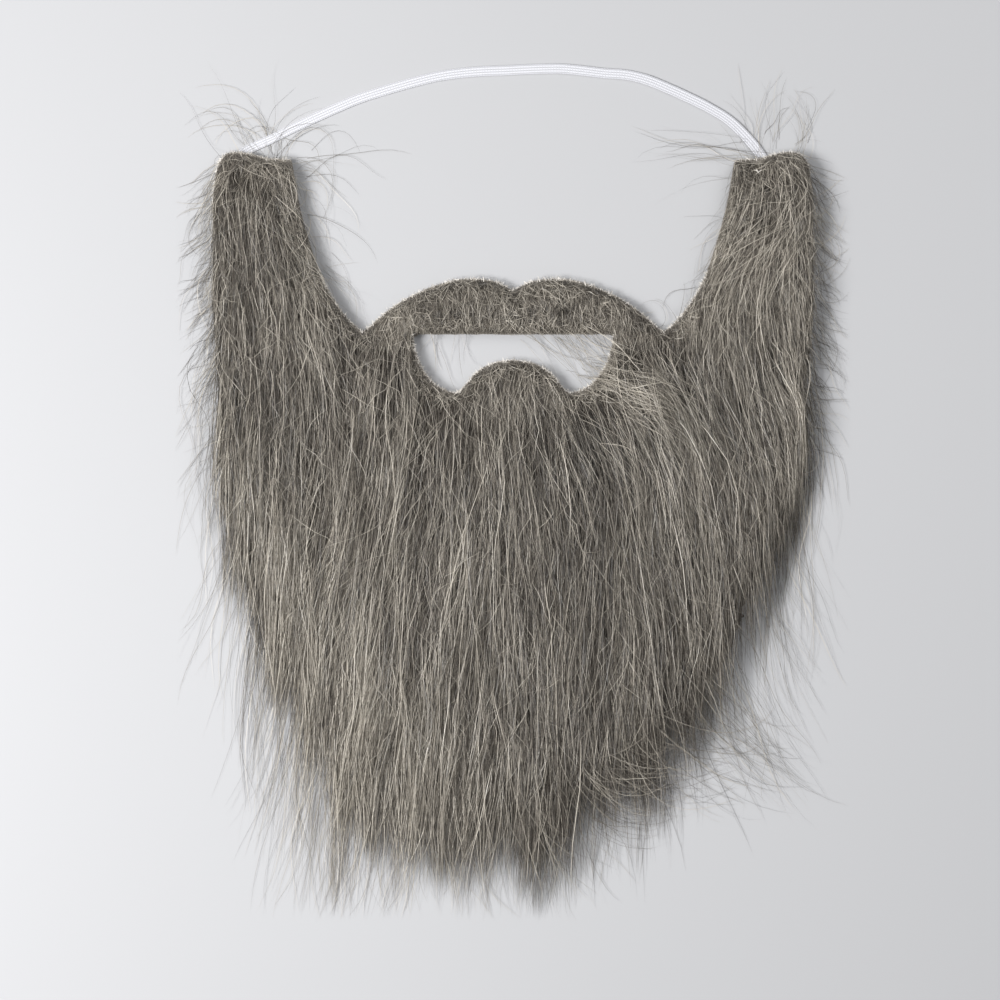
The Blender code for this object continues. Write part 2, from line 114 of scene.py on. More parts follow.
# Lay of the hair: x and y in millimetres, lean from straight down in degrees, plus towards +X
LAY_OF_LEFT_TAB = (
    (-109, 139, -3), (-93, 139, 12), (-115, 119, -6), (-101, 119, 4), (-89, 119, 22), (-113, 95, -8),
    (-97, 95, 8), (-83, 99, 24), (-117, 71, -6), (-101, 71, -2), (-81, 75, 10), (-69, 71, 6),
)
LAY_OF_LEFT_CHEEK = (
    (-109, 43, -4), (-89, 43, -4), (-65, 43, 0), (-45, 51, 4), (-105, 11, 2), (-85, 11, -8),
    (-65, 11, -8), (-45, 19, -4), (-97, -29, 0), (-73, -29, -10), (-53, -29, -10), (-85, -69, -2),
    (-65, -77, -8), (-45, -69, -8), (-73, -117, 2), (-53, -121, -4),
)
LAY_OF_CHIN = (
    (-25, 31, -2), (3, 43, 2), (19, 31, 4), (-17, -9, -4), (7, -9, 0), (31, -9, 4), (-25, -49, -5),
    (3, -49, 0), (27, -53, 3), (-25, -93, -4), (3, -93, 0), (27, -93, 6), (-5, -129, 0), (19, -129, 8),
)
LAY_OF_RIGHT_CHEEK = (
    (35, 47, 35), (55, 51, 50), (71, 51, 30), (51, 35, 20), (51, 3, 4), (75, 11, 6), (95, 19, 8),
    (111, 11, 0), (55, -37, 6), (75, -29, 6), (91, -29, 4), (107, -29, 0), (51, -77, 6),
    (67, -69, 7), (83, -69, 8), (99, -69, 4), (51, -109, 10), (75, -105, 14), (99, -93, 10),
)
LAY_OF_RIGHT_TAB = (
    (99, 139, -10), (113, 139, 10), (93, 115, -28), (115, 115, 6), (87, 95, -24), (75, 91, -10),
    (83, 79, 14), (103, 79, 12), (115, 79, 4), (91, 59, 18), (107, 51, 14), (119, 43, 0),
)
LAY_OF_MOUSTACHE = (
    (-49, 81, -10), (-33, 89, -4), (0, 87, 0), (35, 89, 6), (51, 81, 14), (-13, 55, -8), (0, 59, 0),
    (13, 55, 8),
)
LAY = (
    LAY_OF_LEFT_TAB + LAY_OF_LEFT_CHEEK + LAY_OF_CHIN
    + LAY_OF_RIGHT_CHEEK + LAY_OF_RIGHT_TAB + LAY_OF_MOUSTACHE
)
LAY_EASE = 0.0110  # how softly one direction turns into the next
LAY_DRIFTS = ((6.0, 0.026, 0.040), (4.5, 0.007, 0.018))  # degrees, width and height of the hills

# Painted light and shade on the strands, lighter along a band on the lower left where the hair rises over
# the cloth's edge and darker on the chin, the right cheek and the lower right: x, y and reach in
# millimetres, change of shade
PAINTED_LIGHT_AND_SHADE_PATCHES = (
    (-105, 35, 18, 0.08), (-84, -8, 22, 0.12), (-70, -34, 24, 0.16), (-48, -68, 24, 0.17),
    (-30, -94, 20, 0.08), (-94, 61, 16, -0.16), (80, -65, 44, -0.18), (88, 5, 36, -0.08),
    (0, -10, 48, -0.10), (12, -84, 40, -0.12), (30, 62, 12, 0.08), (-100, 118, 22, -0.08),
    (104, 118, 22, 0.05),
)

# Where the hair reaches further or less far past the outline, and thins more or less gradually:
# x, y and size of the place in millimetres, further in millimetres, thinner as a share
OUTLINE_PATCHES = (
    (-88, -80, 24, 4, -0.20), (-64, -122, 24, 8, -0.30), (-30, -138, 18, 5, -0.20), (12, -144, 12, 4, -0.20),
    (98, -50, 24, -1, 0.10), (72, -96, 26, -5, 0.45), (40, -124, 16, -3, 0.20), (116, -14, 20, -3, 0.00),
    (122, 60, 26, -4, 0.00), (122, 110, 26, -4, 0.00), (-122, 80, 40, -2, 0.00),
)

# The stitches press the pile down here
STITCH_SPOTS = ((-0.1068, 0.1402), (0.0974, 0.1420))
STITCH_REACH = 0.0045
STITCH_PRESS = 0.85  # share of its height that the pile lacks there

# Loose tufts round the tabs and cheeks: root x and y in mm, heading and turn in degrees (turn over
# the whole length), length in mm, how many strands, spread of the heading in degrees
LOOSE_TUFTS = (
    (-101, 149, -165, 95, 46, 12, 9), (-97, 149, 176, -90, 34, 10, 14), (-95, 150, 172, 150, 30, 8, 12),
    (-88, 146, 95, -120, 42, 16, 24), (-85, 126, 62, -75, 34, 18, 24), (-80, 105, 48, -55, 30, 18, 22),
    (100, 147, -106, 25, 50, 16, 6), (96, 149, 174, 40, 32, 10, 14), (105, 151, 182, -60, 28, 10, 14),
    (112, 149, 150, 70, 27, 12, 16), (117, 128, 115, 80, 24, 12, 20), (118, 106, 98, 90, 26, 10, 18),
    (118, 96, 72, 60, 24, 10, 20), (90, 118, -74, 60, 24, 12, 24), (78, 96, -66, 70, 26, 8, 22),
    (62, 79, 128, 110, 24, 6, 20), (-117, 128, -70, 90, 28, 14, 26), (-118, 104, -52, 66, 30, 20, 24),
    (-118, 70, -28, 40, 56, 30, 13), (-114, 34, -22, 26, 62, 30, 12), (-106, 0, -14, 12, 72, 34, 9),
    (110, 12, 8, 2, 68, 26, 10), (118, 44, 10, -10, 56, 18, 12), (119, 76, 30, -20, 36, 12, 18),
)

# Wisps that hang past the lower end and draw together towards their tips, the same values
WISPS = (
    (-101, -20, -7, 6, 84, 34, 5), (-94, -36, -6, 4, 88, 34, 4), (-88, -48, -3, -4, 92, 40, 4),
    (-81, -58, -6, 4, 96, 46, 3), (-75, -67, -1, -6, 96, 54, 3), (-68, -76, -6, 6, 90, 56, 3),
    (-60, -82, 0, -10, 84, 60, 3), (-50, -88, -5, 10, 78, 54, 4), (-38, -94, -2, -18, 70, 46, 6),
    (-24, -97, 2, 24, 66, 44, 7), (-8, -98, -3, -30, 64, 44, 8), (6, -98, 4, 36, 62, 50, 9),
    (16, -96, 6, -20, 62, 46, 8), (24, -96, 14, 60, 60, 44, 16), (31, -92, 26, 120, 58, 44, 24),
    (40, -84, 32, 130, 60, 36, 24), (50, -75, 32, 90, 68, 30, 20), (61, -65, 28, 50, 74, 24, 14),
    (72, -54, 20, 34, 78, 22, 11), (72, -54, 34, 12, 88, 16, 6), (84, -37, 12, 34, 82, 22, 9),
    (97, -15, 8, 22, 80, 22, 8),
)

# Long strands across the mouth: root x and y in mm, heading, turn, length in mm, count, spread
MOUTH_TUFTS = (
    (6, 80, 54, -20, 40, 10, 7), (16, 80, 48, -10, 38, 16, 8), (25, 81, 44, 5, 34, 16, 9),
    (34, 80, 34, 15, 28, 12, 10), (-20, 80, -8, 12, 24, 5, 12), (-33, 80, 4, 10, 26, 6, 12),
    (38, 62, -10, -40, 14, 6, 24), (-39, 63, 16, 40, 12, 4, 20),
)

# Bright strands that sweep over the others: beside the mouth and on the tabs, the same values
WHORL_TUFTS = (
    (30, 63, 66, -10, 40, 30, 10), (36, 58, 74, -20, 42, 34, 10), (42, 52, 70, -30, 42, 32, 11),
    (48, 60, 52, -30, 40, 24, 12), (52, 54, 62, -50, 36, 26, 12), (38, 48, 80, -40, 34, 20, 12),
    (112, 130, -40, 20, 34, 30, 12), (112, 122, -50, 34, 42, 40, 11), (106, 116, -48, 40, 42, 36, 12),
    (98, 106, -38, 46, 36, 28, 14), (116, 116, -30, 30, 36, 26, 12), (108, 141, 70, -170, 16, 22, 20),
    (103, 138, -76, 130, 16, 20, 22), (-92, 139, 60, -60, 22, 22, 22), (-96, 130, 34, -50, 28, 26, 16),
    (-104, 134, -20, 60, 26, 22, 18), (-88, 114, 40, -46, 28, 24, 14), (-84, 100, 24, -30, 30, 22, 12),
)

# Middle line of the elastic, the same points as the solid's
STRAP_ROUTE = (
    (-0.1092, 0.1412), (-0.1093, 0.1452), (-0.1082, 0.1493), (-0.1048, 0.1518), (-0.0964, 0.1556),
    (-0.0880, 0.1598), (-0.0796, 0.1638), (-0.0712, 0.1676), (-0.0628, 0.1712), (-0.0544, 0.1740),
    (-0.0460, 0.1765), (-0.0376, 0.1788), (-0.0292, 0.1807), (-0.0208, 0.1819), (-0.0124, 0.1826),
    (-0.0040, 0.1829), (0.0044, 0.1833), (0.0128, 0.1836), (0.0200, 0.1836), (0.0284, 0.1828),
    (0.0368, 0.1818), (0.0452, 0.1812), (0.0536, 0.1792), (0.0620, 0.1758), (0.0704, 0.1720),
    (0.0788, 0.1678), (0.0872, 0.1624), (0.0950, 0.1545), (0.0992, 0.1489), (0.1012, 0.1448),
    (0.1018, 0.1405),
)
CURVE_STEPS = 6  # between two points of the route
BAND_STATIONS = 360
BAND_PULLS = ((0.10, 0.10, 0.05), (0.05, 0.86, 0.04))  # how much narrower, where, over how much

# Threads that hold the elastic, as points in millimetres
STITCHES = (
    ((-106, 142, 2.3), (-104.6, 143, 3.4), (-103.4, 141.4, 3.2), (-104.4, 138.2, 3.4), (-107.2, 135.4, 3.6),
     (-109.0, 133.0, 3.4), (-109.4, 132.2, 2.9)),
    ((-106.6, 141.6, 2.3), (-106.0, 142.8, 3.3), (-105.2, 144.0, 3.3), (-104.6, 145.0, 2.3)),
    ((-108.0, 141.8, 2.3), (-107.2, 142.6, 3.2), (-106.2, 143.4, 3.2), (-105.4, 143.8, 2.3)),
    ((94.8, 142.2, 2.3), (96.2, 142.6, 3.3), (97.8, 142.0, 3.3), (99.4, 141.8, 2.3)),
    ((95.6, 140.6, 2.3), (97.0, 141.2, 3.4), (98.6, 142.4, 3.5), (99.6, 143.2, 2.3)),
    ((96.8, 143.4, 2.3), (97.4, 142.2, 3.6), (98.2, 140.8, 3.4), (98.6, 139.6, 2.3)),
)
THREAD_WIDTH = 0.00042
THREAD_SIDES = 6
THREAD_LIFT = 0.0014  # added to the heights of the points

# The knitted cloth's mesh
EDGE_STEP = 0.0013
CLOTH_STEP = 0.0045
CLOTH_RIM = 0.0018  # no grid point lies nearer to an edge

# Locks that neighbouring strands draw together into
LOCK_SPACINGS = (0.0090, 0.0130)  # every second long strand goes into the larger ones
FINE_LOCK = 0.0027  # spacing of the fine locks within them
FINE_PULL = 0.45
LOCK_JITTER = 0.45  # how far a lock is off its grid, as a share of the spacing
LOCK_LEAST = 0.45  # strength of the weakest lock
LOCK_VARIES = 0.80  # how much stronger the strongest is
LOCK_TIGHTEST = 0.92
LOCK_GATHERS = 1.4  # power of the way along it with which a lock draws together

# How far strands stand out past the beard's outline, in metres
USUAL_REACH = 0.0034
LEAST_REACH = 0.0004
STRAY_REACH = 0.0110  # further for a few strands
STRAY_SHARE = 0.12
LOCKS_FURTHER = 0.0100  # the highest locks of the lower end reach this much further
LOCKS_SHORTER = 0.0580  # the lowest ones end up to this much sooner than they do
LOWER_TOP = 0.0300  # the lower end begins at this line
LOWER_RUN = 0.1200  # and is fully ragged this far below it
RAGGED_REACH = 0.0220
TEETH = (0.0075, 0.0160)  # widths of its fine and its coarse teeth
TEETH_LENGTH = 0.2000
TEETH_DEPTH = 0.65

# Slow swings and small waves along a strand, from the fewest to the most
SWINGS = (0.4, 1.3)
CRIMPS = (1.6, 3.6)

# Shade of the strands, from 0 for dark to 1 for silver
USUAL_SHADE = 0.29
SHADE_SPREAD = 0.22
# strands low in the pile are painted darker and high ones lighter: painted shade of the pile over them
PAINTED_SHADE_BY_LAYER = 0.50
SHADED_LAYER = 0.42  # strands of this layer have their usual shade
HIGHEST_LAYER = 1.1  # above this one the shade grows no more
SHADE_DRIFTS = ((0.14, 0.0024, 0.030), (0.15, 0.0090, 0.045))  # change, width and height of the hills
SILVER_SHARE = 0.13
SILVER_GAIN = 0.38
DARK_SHARE = 0.16
DARK_LOSS = 0.26

# The stage, in metres
PICTURE_MIDDLE = (-0.0052, 0.0112, 0.0)
SENSOR_WIDTH = 36.0  # in millimetres
FLOOR_REACH = 3.0
LIGHTS = (("Key", (-0.80, -0.10, 0.85), 0.45), ("Fill", (0.70, 0.60, 0.95), 0.90))  # place and size

MM = 0.001
SEED = 7


class Pile(NamedTuple):
    """How a piece of strands is grown and laid."""

    points: int  # along each strand
    loft: float  # height of the pile over its foot, in metres
    count: int = 0  # strands at full fullness, where no table gives them
    width: float = 1.0  # share of the usual strand's
    paler: float = 0.0  # added to the shade
    rise: float = 0.0035  # run over which a strand comes up out of the foot, in metres
    sag: float = 0.45  # share of its height that a strand loses towards its tip
    short: bool = False  # belongs to the short pile


PILES = {
    "moustache_strands": Pile(4, 0.0026, 15500, width=0.80, rise=0.0022, sag=0.3, short=True),
    "lip_tuft_strands": Pile(5, 0.0026, 4200, width=0.80, rise=0.0022),
    "left_tab_strands": Pile(5, 0.0044, 12000, width=0.90, rise=0.0030),
    "right_tab_strands": Pile(5, 0.0044, 12000, width=0.90, rise=0.0030),
    "left_beard_strands": Pile(7, 0.0056, 10300),
    "chin_strands": Pile(7, 0.0056, 10300),
    "right_beard_strands": Pile(7, 0.0056, 10300),
    "fringe_strands": Pile(8, 0.0056, 11500, width=0.90, sag=0.7),
    "crossing_strands": Pile(8, 0.0052, 5600, width=0.66, paler=0.12),
    "side_fuzz": Pile(8, 0.0046, 1500, width=0.85, paler=0.05),
    "felt_strands": Pile(4, 0.0026, 8400, width=0.85, paler=0.27, rise=0.0008),
    "loose_strands": Pile(11, 0.0048, width=0.80, paler=0.04, sag=0.7),
    "wisp_strands": Pile(11, 0.0048, width=0.85, paler=0.04, sag=0.7),
    "mouth_strands": Pile(11, 0.0048, width=0.90, paler=0.12, sag=0.7),
    "whorl_strands": Pile(11, 0.0048, width=0.85, paler=0.26, sag=0.7),
}


class Field:
    """A value over the floor plan, kept on a grid and read smoothly between its points."""

    def __init__(self):
        self.low = np.array(CAD_LOW[:2]) - GRID_MARGIN
        size = np.array(CAD_HIGH[:2]) + GRID_MARGIN - self.low
        self.columns, self.rows = (np.ceil(size / GRID_PITCH).astype(int) + 1)
        self.values = np.zeros((self.rows, self.columns))

    def plan(self):
        """Every grid point as (x, y)."""
        x = self.low[0] + GRID_PITCH * np.arange(self.columns)
        y = self.low[1] + GRID_PITCH * np.arange(self.rows)
        return np.stack(np.meshgrid(x, y), axis=-1).reshape(-1, 2)

    def filled(self, values):
        """The field with these values in it."""
        self.values = np.asarray(values, dtype=float).reshape(self.rows, self.columns)
        return self

    def softened(self, rounds):
        """The field with each value drawn towards its neighbours."""
        for _ in range(rounds):
            for axis in (0, 1):
                before = np.roll(self.values, 1, axis)
                after = np.roll(self.values, -1, axis)
                self.values = (before + 2 * self.values + after) / 4
        return self

    def spread(self):
        """The field with each value raised to its highest neighbour."""
        for axis in (0, 1):
            before = np.roll(self.values, 1, axis)
            after = np.roll(self.values, -1, axis)
            self.values = np.maximum(self.values, np.maximum(before, after))
        return self

    def at(self, places):
        """The values at places (..., 2)."""
        spot = (np.asarray(places) - self.low) / GRID_PITCH
        last = [self.columns - LAST_CELL, self.rows - LAST_CELL]
        return between(self.values, np.clip(spot, 0, last))


def between(table, spot, ease=False):
    """Values between a table's points, at spots counted in columns and rows."""
    corner = np.floor(spot).astype(int)
    part = spot - corner
    if ease:
        part = part * part * (3 - 2 * part)
    right, up = np.moveaxis(part, -1, 0)
    column, row = np.moveaxis(corner, -1, 0)
    below = table[row, column] * (1 - right) + table[row, column + 1] * right
    above = table[row + 1, column] * (1 - right) + table[row + 1, column + 1] * right
    return below * (1 - up) + above * up


def soft_noise(places, hill, rng):
    """Noise from -1 to 1 with hills about as wide and as high as hill = (x, y)."""
    low = np.array(CAD_LOW[:2]) - GRID_MARGIN
    size = np.array(CAD_HIGH[:2]) + GRID_MARGIN - low
    cells = np.ceil(size / hill).astype(int) + 3
    table = rng.uniform(-1, 1, (cells[1], cells[0]))
    spot = np.clip((np.asarray(places) - low) / hill, 0, cells - 1 - LAST_CELL)
    return between(table, spot, ease=True)


def nearness(places, spot, reach):
    """1 at a spot, less further off, and nearly nought at twice the reach."""
    away = np.linalg.norm(places - np.array(spot), axis=-1) / reach
    return np.exp(-away ** 2)


# The cloth and the fur's foot, read from the model

@lru_cache(maxsize=None)
def cloth_edges():
    """The cloth's outer edge and the edge of its mouth, each as points in order round it."""
    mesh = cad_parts["backing_cloth"].data
    sides = set()
    for face in mesh.polygons:
        if face.normal.z > FACES_DOWN:
            continue
        corners = [mesh.vertices[index].co for index in face.vertices]
        spots = [(round(corner.x, 5), round(corner.y, 5)) for corner in corners]
        for start, end in zip(spots, spots[1:] + spots[:1]):
            if start != end:
                sides.add((start, end))
    following = {start: end for start, end in sides if (end, start) not in sides}
    loops = []
    while following:
        start = min(following)
        loop = [start]
        spot = following.pop(start)
        while spot != start:
            loop.append(spot)
            spot = following.pop(spot)
        loops.append(np.array(loop))
    loops.sort(key=lambda loop: np.ptp(loop[:, 0]), reverse=True)
    return loops[:2]


@lru_cache(maxsize=None)
def edge_field(which):
    """Distance from the outer edge (0) or the mouth's edge (1): plus on the cloth's side."""
    loop = cloth_edges()[which]
    field = Field()
    plan = field.plan()
    nearest = np.full(len(plan), 1.0)
    within = np.zeros(len(plan), dtype=bool)
    for start, end in zip(loop, np.roll(loop, -1, axis=0)):
        along = end - start
        share = np.clip((plan - start) @ along / (along @ along), 0, 1)
        gap = np.linalg.norm(plan - start - share[:, None] * along, axis=1)
        nearest = np.minimum(nearest, gap)
        if start[1] != end[1]:
            spans = (start[1] > plan[:, 1]) != (end[1] > plan[:, 1])
            crossing = start[0] + (plan[:, 1] - start[1]) / along[1] * along[0]
            within ^= spans & (plan[:, 0] < crossing)
    if which == 1:
        within = ~within
    return field.filled(np.where(within, nearest, -nearest))


def depth_in_cloth(places):
    """Distance to the nearest edge of the cloth, minus where there is none."""
    return np.minimum(edge_field(0).at(places), edge_field(1).at(places))


def mouth_box():
    """Half width, lower and upper line of the mouth opening."""
    loop = cloth_edges()[1]
    return np.abs(loop[:, 0]).max(), loop[:, 1].min(), loop[:, 1].max()


def eased(value):
    """From 0 to 1 with a soft start and end."""
    share = np.clip(value, 0, 1)
    return share * share * (3 - 2 * share)


def free_height(places):
    """How much of its height the pile keeps, little where a stitch presses it down."""
    kept = np.ones(np.shape(places)[:-1])
    for spot in STITCH_SPOTS:
        kept *= 1 - STITCH_PRESS * nearness(places, spot, STITCH_REACH)
    return kept


@lru_cache(maxsize=None)
def fullness_field():
    """How high the pile stands: low along edges that it grows away from, and far past the cloth."""
    field = Field()
    depth = depth_in_cloth(field.plan()).reshape(field.rows, field.columns)
    up, right = np.gradient(depth, GRID_PITCH)
    lean = np.radians(lay_field().values)
    inward = np.sin(lean) * right - np.cos(lean) * up
    at_edge = (1 - eased(depth / EDGE_SLOPE)) * np.clip(inward * 1.8, 0, 1)
    past = eased((-edge_field(0).values - PAST_START) / PAST_RUN)
    free = free_height(field.plan()).reshape(depth.shape)
    return field.filled((1 - EDGE_DROP * at_edge) * (1 - PAST_DROP * past) * free).softened(1)


def foot_height(places, heights):
    """Heights in the fur's foot that heights in the fur's solid come down to."""
    raised = (heights - PILE_FOOT) * FOOT_SHARE * fullness_field().at(places)
    return np.where(heights > PILE_FOOT, PILE_FOOT + raised, heights)


def solid_tree(node):
    """A CAD node's faces, ready for rays."""
    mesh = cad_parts[node].data
    corners = [vertex.co.copy() for vertex in mesh.vertices]
    return BVHTree.FromPolygons(corners, [tuple(face.vertices) for face in mesh.polygons])


@lru_cache(maxsize=None)
def solid_tops():
    """Top of the fur and cloth solids at every grid point, nought where there is none."""
    plan = Field().plan()
    tops = np.zeros(len(plan))
    for node in ("beard_fur", "moustache_fur", "backing_cloth"):
        tree = solid_tree(node)
        for index, (x, y) in enumerate(plan):
            hit = tree.ray_cast((x, y, 0.1), (0, 0, -1))[0]
            if hit is not None:
                tops[index] = max(tops[index], hit.z)
    return tops


@lru_cache(maxsize=None)
def foot_field():
    """Top of the fur's foot above the floor, eased so that strands flow over it."""
    field = Field()
    return field.filled(foot_height(field.plan(), solid_tops())).spread().softened(3)


def tree_of(places):
    """Places in the plan, ready for finding the nearest."""
    tree = KDTree(len(places))
    for index, (x, y) in enumerate(places):
        tree.insert((x, y, 0), index)
    tree.balance()
    return tree


@lru_cache(maxsize=None)
def outline_field():
    """Distance from the beard's outline, plus outside it and minus within."""
    field = Field()
    plan = field.plan()
    covered = solid_tops() > 0
    fur = tree_of(plan[covered])
    floor = tree_of(plan[~covered])
    away = [
        -floor.find((x, y, 0))[2] if inside else fur.find((x, y, 0))[2]
        for (x, y), inside in zip(plan, covered)
    ]
    return field.filled(away)


@lru_cache(maxsize=None)
def ragged_field():
    """Where the lower end's locks reach further down, from -0.45 to 1."""
    rng = np.random.default_rng(SEED + 50)
    field = Field()
    plan = field.plan()
    teeth = sum(TEETH_DEPTH * soft_noise(plan, (width, TEETH_LENGTH), rng) for width in TEETH)
    return field.filled(np.clip(teeth + 0.1, -0.45, 1.0))


@lru_cache(maxsize=None)
def outline_patches():
    """The further and the thinner values of OUTLINE_PATCHES, each over the plan."""
    plan = Field().plan()
    further = np.zeros(len(plan))
    thinner = np.zeros(len(plan))
    for x, y, size, far, thin in OUTLINE_PATCHES:
        weight = nearness(plan, (x * MM, y * MM), size * MM)
        further += weight * far * MM
        thinner += weight * thin
    return Field().filled(further), Field().filled(thinner)


@lru_cache(maxsize=None)
def lay_field():
    """Direction of the hair over the floor plan, in degrees from straight down."""
    rng = np.random.default_rng(SEED)
    field = Field()
    plan = field.plan()
    leans = np.zeros(len(plan))
    weights = np.zeros(len(plan))
    for x, y, lean in LAY:
        away = np.linalg.norm(plan - np.array((x, y)) * MM, axis=1)
        weight = (away ** 2 + LAY_EASE ** 2) ** -1.5
        leans += weight * lean
        weights += weight
    lay = leans / weights
    for degrees, *hill in LAY_DRIFTS:
        lay = lay + degrees * soft_noise(plan, hill, rng)
    return field.filled(lay)


# Growing strands

def scattered(name, settings, low, high, wanted, rng):
    """Random roots for a piece, between two corners and where wanted(roots) is true."""
    count = max(50, int(PILES[name].count * settings.fullness))
    roots = np.empty((0, 2))
    while len(roots) < count:
        tries = rng.uniform(low, high, (count * 3, 2))
        roots = np.concatenate((roots, tries[wanted(tries)]))
    return roots[:count]


def heading_to(degrees):
    """Steps of length one in directions given as degrees from straight down."""
    angle = np.radians(degrees)
    return np.stack((np.sin(angle), -np.cos(angle)), axis=1)


def grown(roots, lengths, rng, stray=5.0, sway=7.0, crimp=6.0, lean=0.0, tip=0.0, steps=24, ease=0.008):
    """Paths that walk down the lay of the hair from each root, as strands x points x 2.

    Stray, sway and crimp are spreads in degrees: of the whole strand's direction, of its slow swing
    and of its waves. Lean is how far each strand turns from the lay all along it, and tip how far
    its end curls."""
    count = len(roots)
    drift = rng.normal(0, stray, count) + lean
    curl = rng.normal(0, 1, count) * tip
    swing = rng.normal(0, sway, count)
    wave = rng.normal(0, crimp, count)
    phase = rng.uniform(0, 2 * math.pi, count)
    turns = rng.uniform(*SWINGS, count) * 2 * math.pi
    waves = rng.uniform(*CRIMPS, count) * 2 * math.pi
    stride = lengths / steps
    heading = lay_field().at(roots) + drift
    path = np.empty((count, steps + 1, 2))
    path[:, 0] = roots
    for step in range(steps):
        share = step / steps
        wanted = lay_field().at(path[:, step]) + drift + swing * np.sin(phase + turns * share)
        wanted += curl * share ** 3
        heading += (wanted - heading) * np.minimum(1, stride / ease)
        move = heading_to(heading + wave * np.sin(phase + waves * share))
        path[:, step + 1] = path[:, step] + stride[:, None] * move
    return path


def curled(roots, heading, bend, lengths, rng, steps=30):
    """Paths that start at a heading and turn by bend degrees over their length."""
    count = len(roots)
    swing = rng.normal(0, 14, count)
    phase = rng.uniform(0, 2 * math.pi, count)
    path = np.empty((count, steps + 1, 2))
    path[:, 0] = roots
    for step in range(steps):
        share = step / steps
        move = heading_to(heading + bend * share + swing * np.sin(phase + 7 * share))
        path[:, step + 1] = path[:, step] + (lengths / steps)[:, None] * move
    return path


def tuft_paths(tufts, spot, rng):
    """Curling paths of the tufts in a table."""
    paths = []
    for x, y, heading, turn, length, count, spread in tufts:
        roots = np.array((x, y)) * MM + rng.normal(0, spot, (count, 2))
        start = heading + rng.normal(0, spread, count)
        bend = turn * rng.uniform(0.3, 1.6, count) + rng.normal(0, 18, count)
        lengths = length * MM * rng.uniform(0.55, 1.15, count)
        paths.append(curled(roots, start, bend, lengths, rng))
    return np.concatenate(paths)


@lru_cache(maxsize=None)
def lock_middles(spacing):
    """Where the locks of this size are rooted, and how strong and how high each is, from 0 to 1."""
    rng = np.random.default_rng(SEED + int(spacing / 0.0001))
    x = np.arange(CLOTH_LOW.x, CLOTH_HIGH.x, spacing)
    y = np.arange(CLOTH_LOW.y, CLOTH_HIGH.y, spacing)
    middles = np.stack(np.meshgrid(x, y), axis=-1).reshape(-1, 2)
    middles = middles + rng.uniform(-LOCK_JITTER, LOCK_JITTER, middles.shape) * spacing
    return tree_of(middles), rng.random(len(middles)), rng.random(len(middles))


def lock_lean(roots, spacing, spread):
    """A lean of its own for each lock, so that neighbouring locks cross, one value per root."""
    tree, strengths, _ = lock_middles(spacing)
    leans = np.random.default_rng(SEED + 60).normal(0, spread, len(strengths))
    return leans[[tree.find((x, y, 0))[1] for x, y in roots]]


def gathered(path, spacing, pull):
    """Draws neighbouring strands together into locks, and says how high each lies in its lock."""
    tree, strengths, heights = lock_middles(spacing)
    found = [tree.find((x, y, 0)) for x, y in path[:, 0]]
    lock = np.array([index for _, index, _ in found])
    aside = np.array([distance for _, _, distance in found]) / spacing
    sums = np.zeros((len(heights), *path.shape[1:]))
    np.add.at(sums, lock, path)
    members = np.maximum(np.bincount(lock, minlength=len(heights)), 1)
    middle_path = sums / members[:, None, None]
    strength = pull * (LOCK_LEAST + LOCK_VARIES * strengths[lock])
    share = np.linspace(0, 1, path.shape[1]) ** LOCK_GATHERS
    amount = np.clip(strength[:, None] * share, 0, LOCK_TIGHTEST)[:, :, None]
    lift = 0.6 * heights[lock] + 0.4 * np.clip(1 - 1.6 * aside, 0, 1)
    return path * (1 - amount) + middle_path[lock] * amount, lift


def in_locks(roots, lengths, rng, pull, spread, **growth):
    """Strands grown in locks, half of them in smaller ones, and how high each lies in its lock."""
    paths = []
    lifts = []
    for first, spacing in enumerate(LOCK_SPACINGS):
        chosen = roots[first::2]
        lean = lock_lean(chosen, spacing, spread)
        path = grown(chosen, lengths[first::2], rng, lean=lean, **growth)
        path, _ = gathered(path, FINE_LOCK, FINE_PULL)
        path, lift = gathered(path, spacing, pull)
        paths.append(path)
        lifts.append(lift)
    return np.concatenate(paths), np.concatenate(lifts)


def trimmed(name, path, allowed, *values):
    """Cuts a piece's strands where they leave what is allowed, and spaces their points evenly.

    Strands that are cut to nothing are left out, here and in the values that belong to them."""
    last_point = allowed.shape[1] - 1
    first_out = np.where(allowed.all(axis=1), last_point + 1, np.argmax(~allowed, axis=1))
    last = np.maximum(first_out - 1, 0)
    spot = last[:, None] * np.linspace(0, 1, PILES[name].points)
    index = np.minimum(spot.astype(int), last_point - 1)
    part = (spot - index)[:, :, None]
    row = np.arange(len(path))[:, None]
    kept = last >= 2
    cut = (path[row, index] * (1 - part) + path[row, index + 1] * part)[kept]
    return (cut, *(value[kept] for value in values))


def on_cloth(spots):
    """Which places lie on the cloth."""
    return depth_in_cloth(spots) > 0.0002


def near_outline(path, lift, rng):
    """Which points stay close to the beard's outline, where high locks reach furthest.

    A few strands may stand further out."""
    count = len(path)
    reach = rng.exponential(USUAL_REACH, count) + LEAST_REACH
    reach = np.where(rng.random(count) < STRAY_SHARE, reach + STRAY_REACH, reach)
    thinned = LOCKS_FURTHER - LOCKS_SHORTER * (1 - lift) * rng.uniform(0.5, 1.0, count)
    lower = eased((LOWER_TOP - path[:, :, 1]) / LOWER_RUN)
    ragged = RAGGED_REACH * ragged_field().at(path)
    further, thinner = (field.at(path) for field in outline_patches())
    thinned = thinned[:, None] * (1 + thinner)
    edge = reach[:, None] * (1 + 1.5 * lower) + lower * (thinned + ragged) + further
    return outline_field().at(path) < edge


def in_reach(path):
    """Which points of the strands stay near the model's own box."""
    low = np.array(CAD_LOW[:2]) - LOOSE_REACH
    high = np.array(CAD_HIGH[:2]) + LOOSE_REACH
    return ((path > low) & (path < high)).all(axis=2)


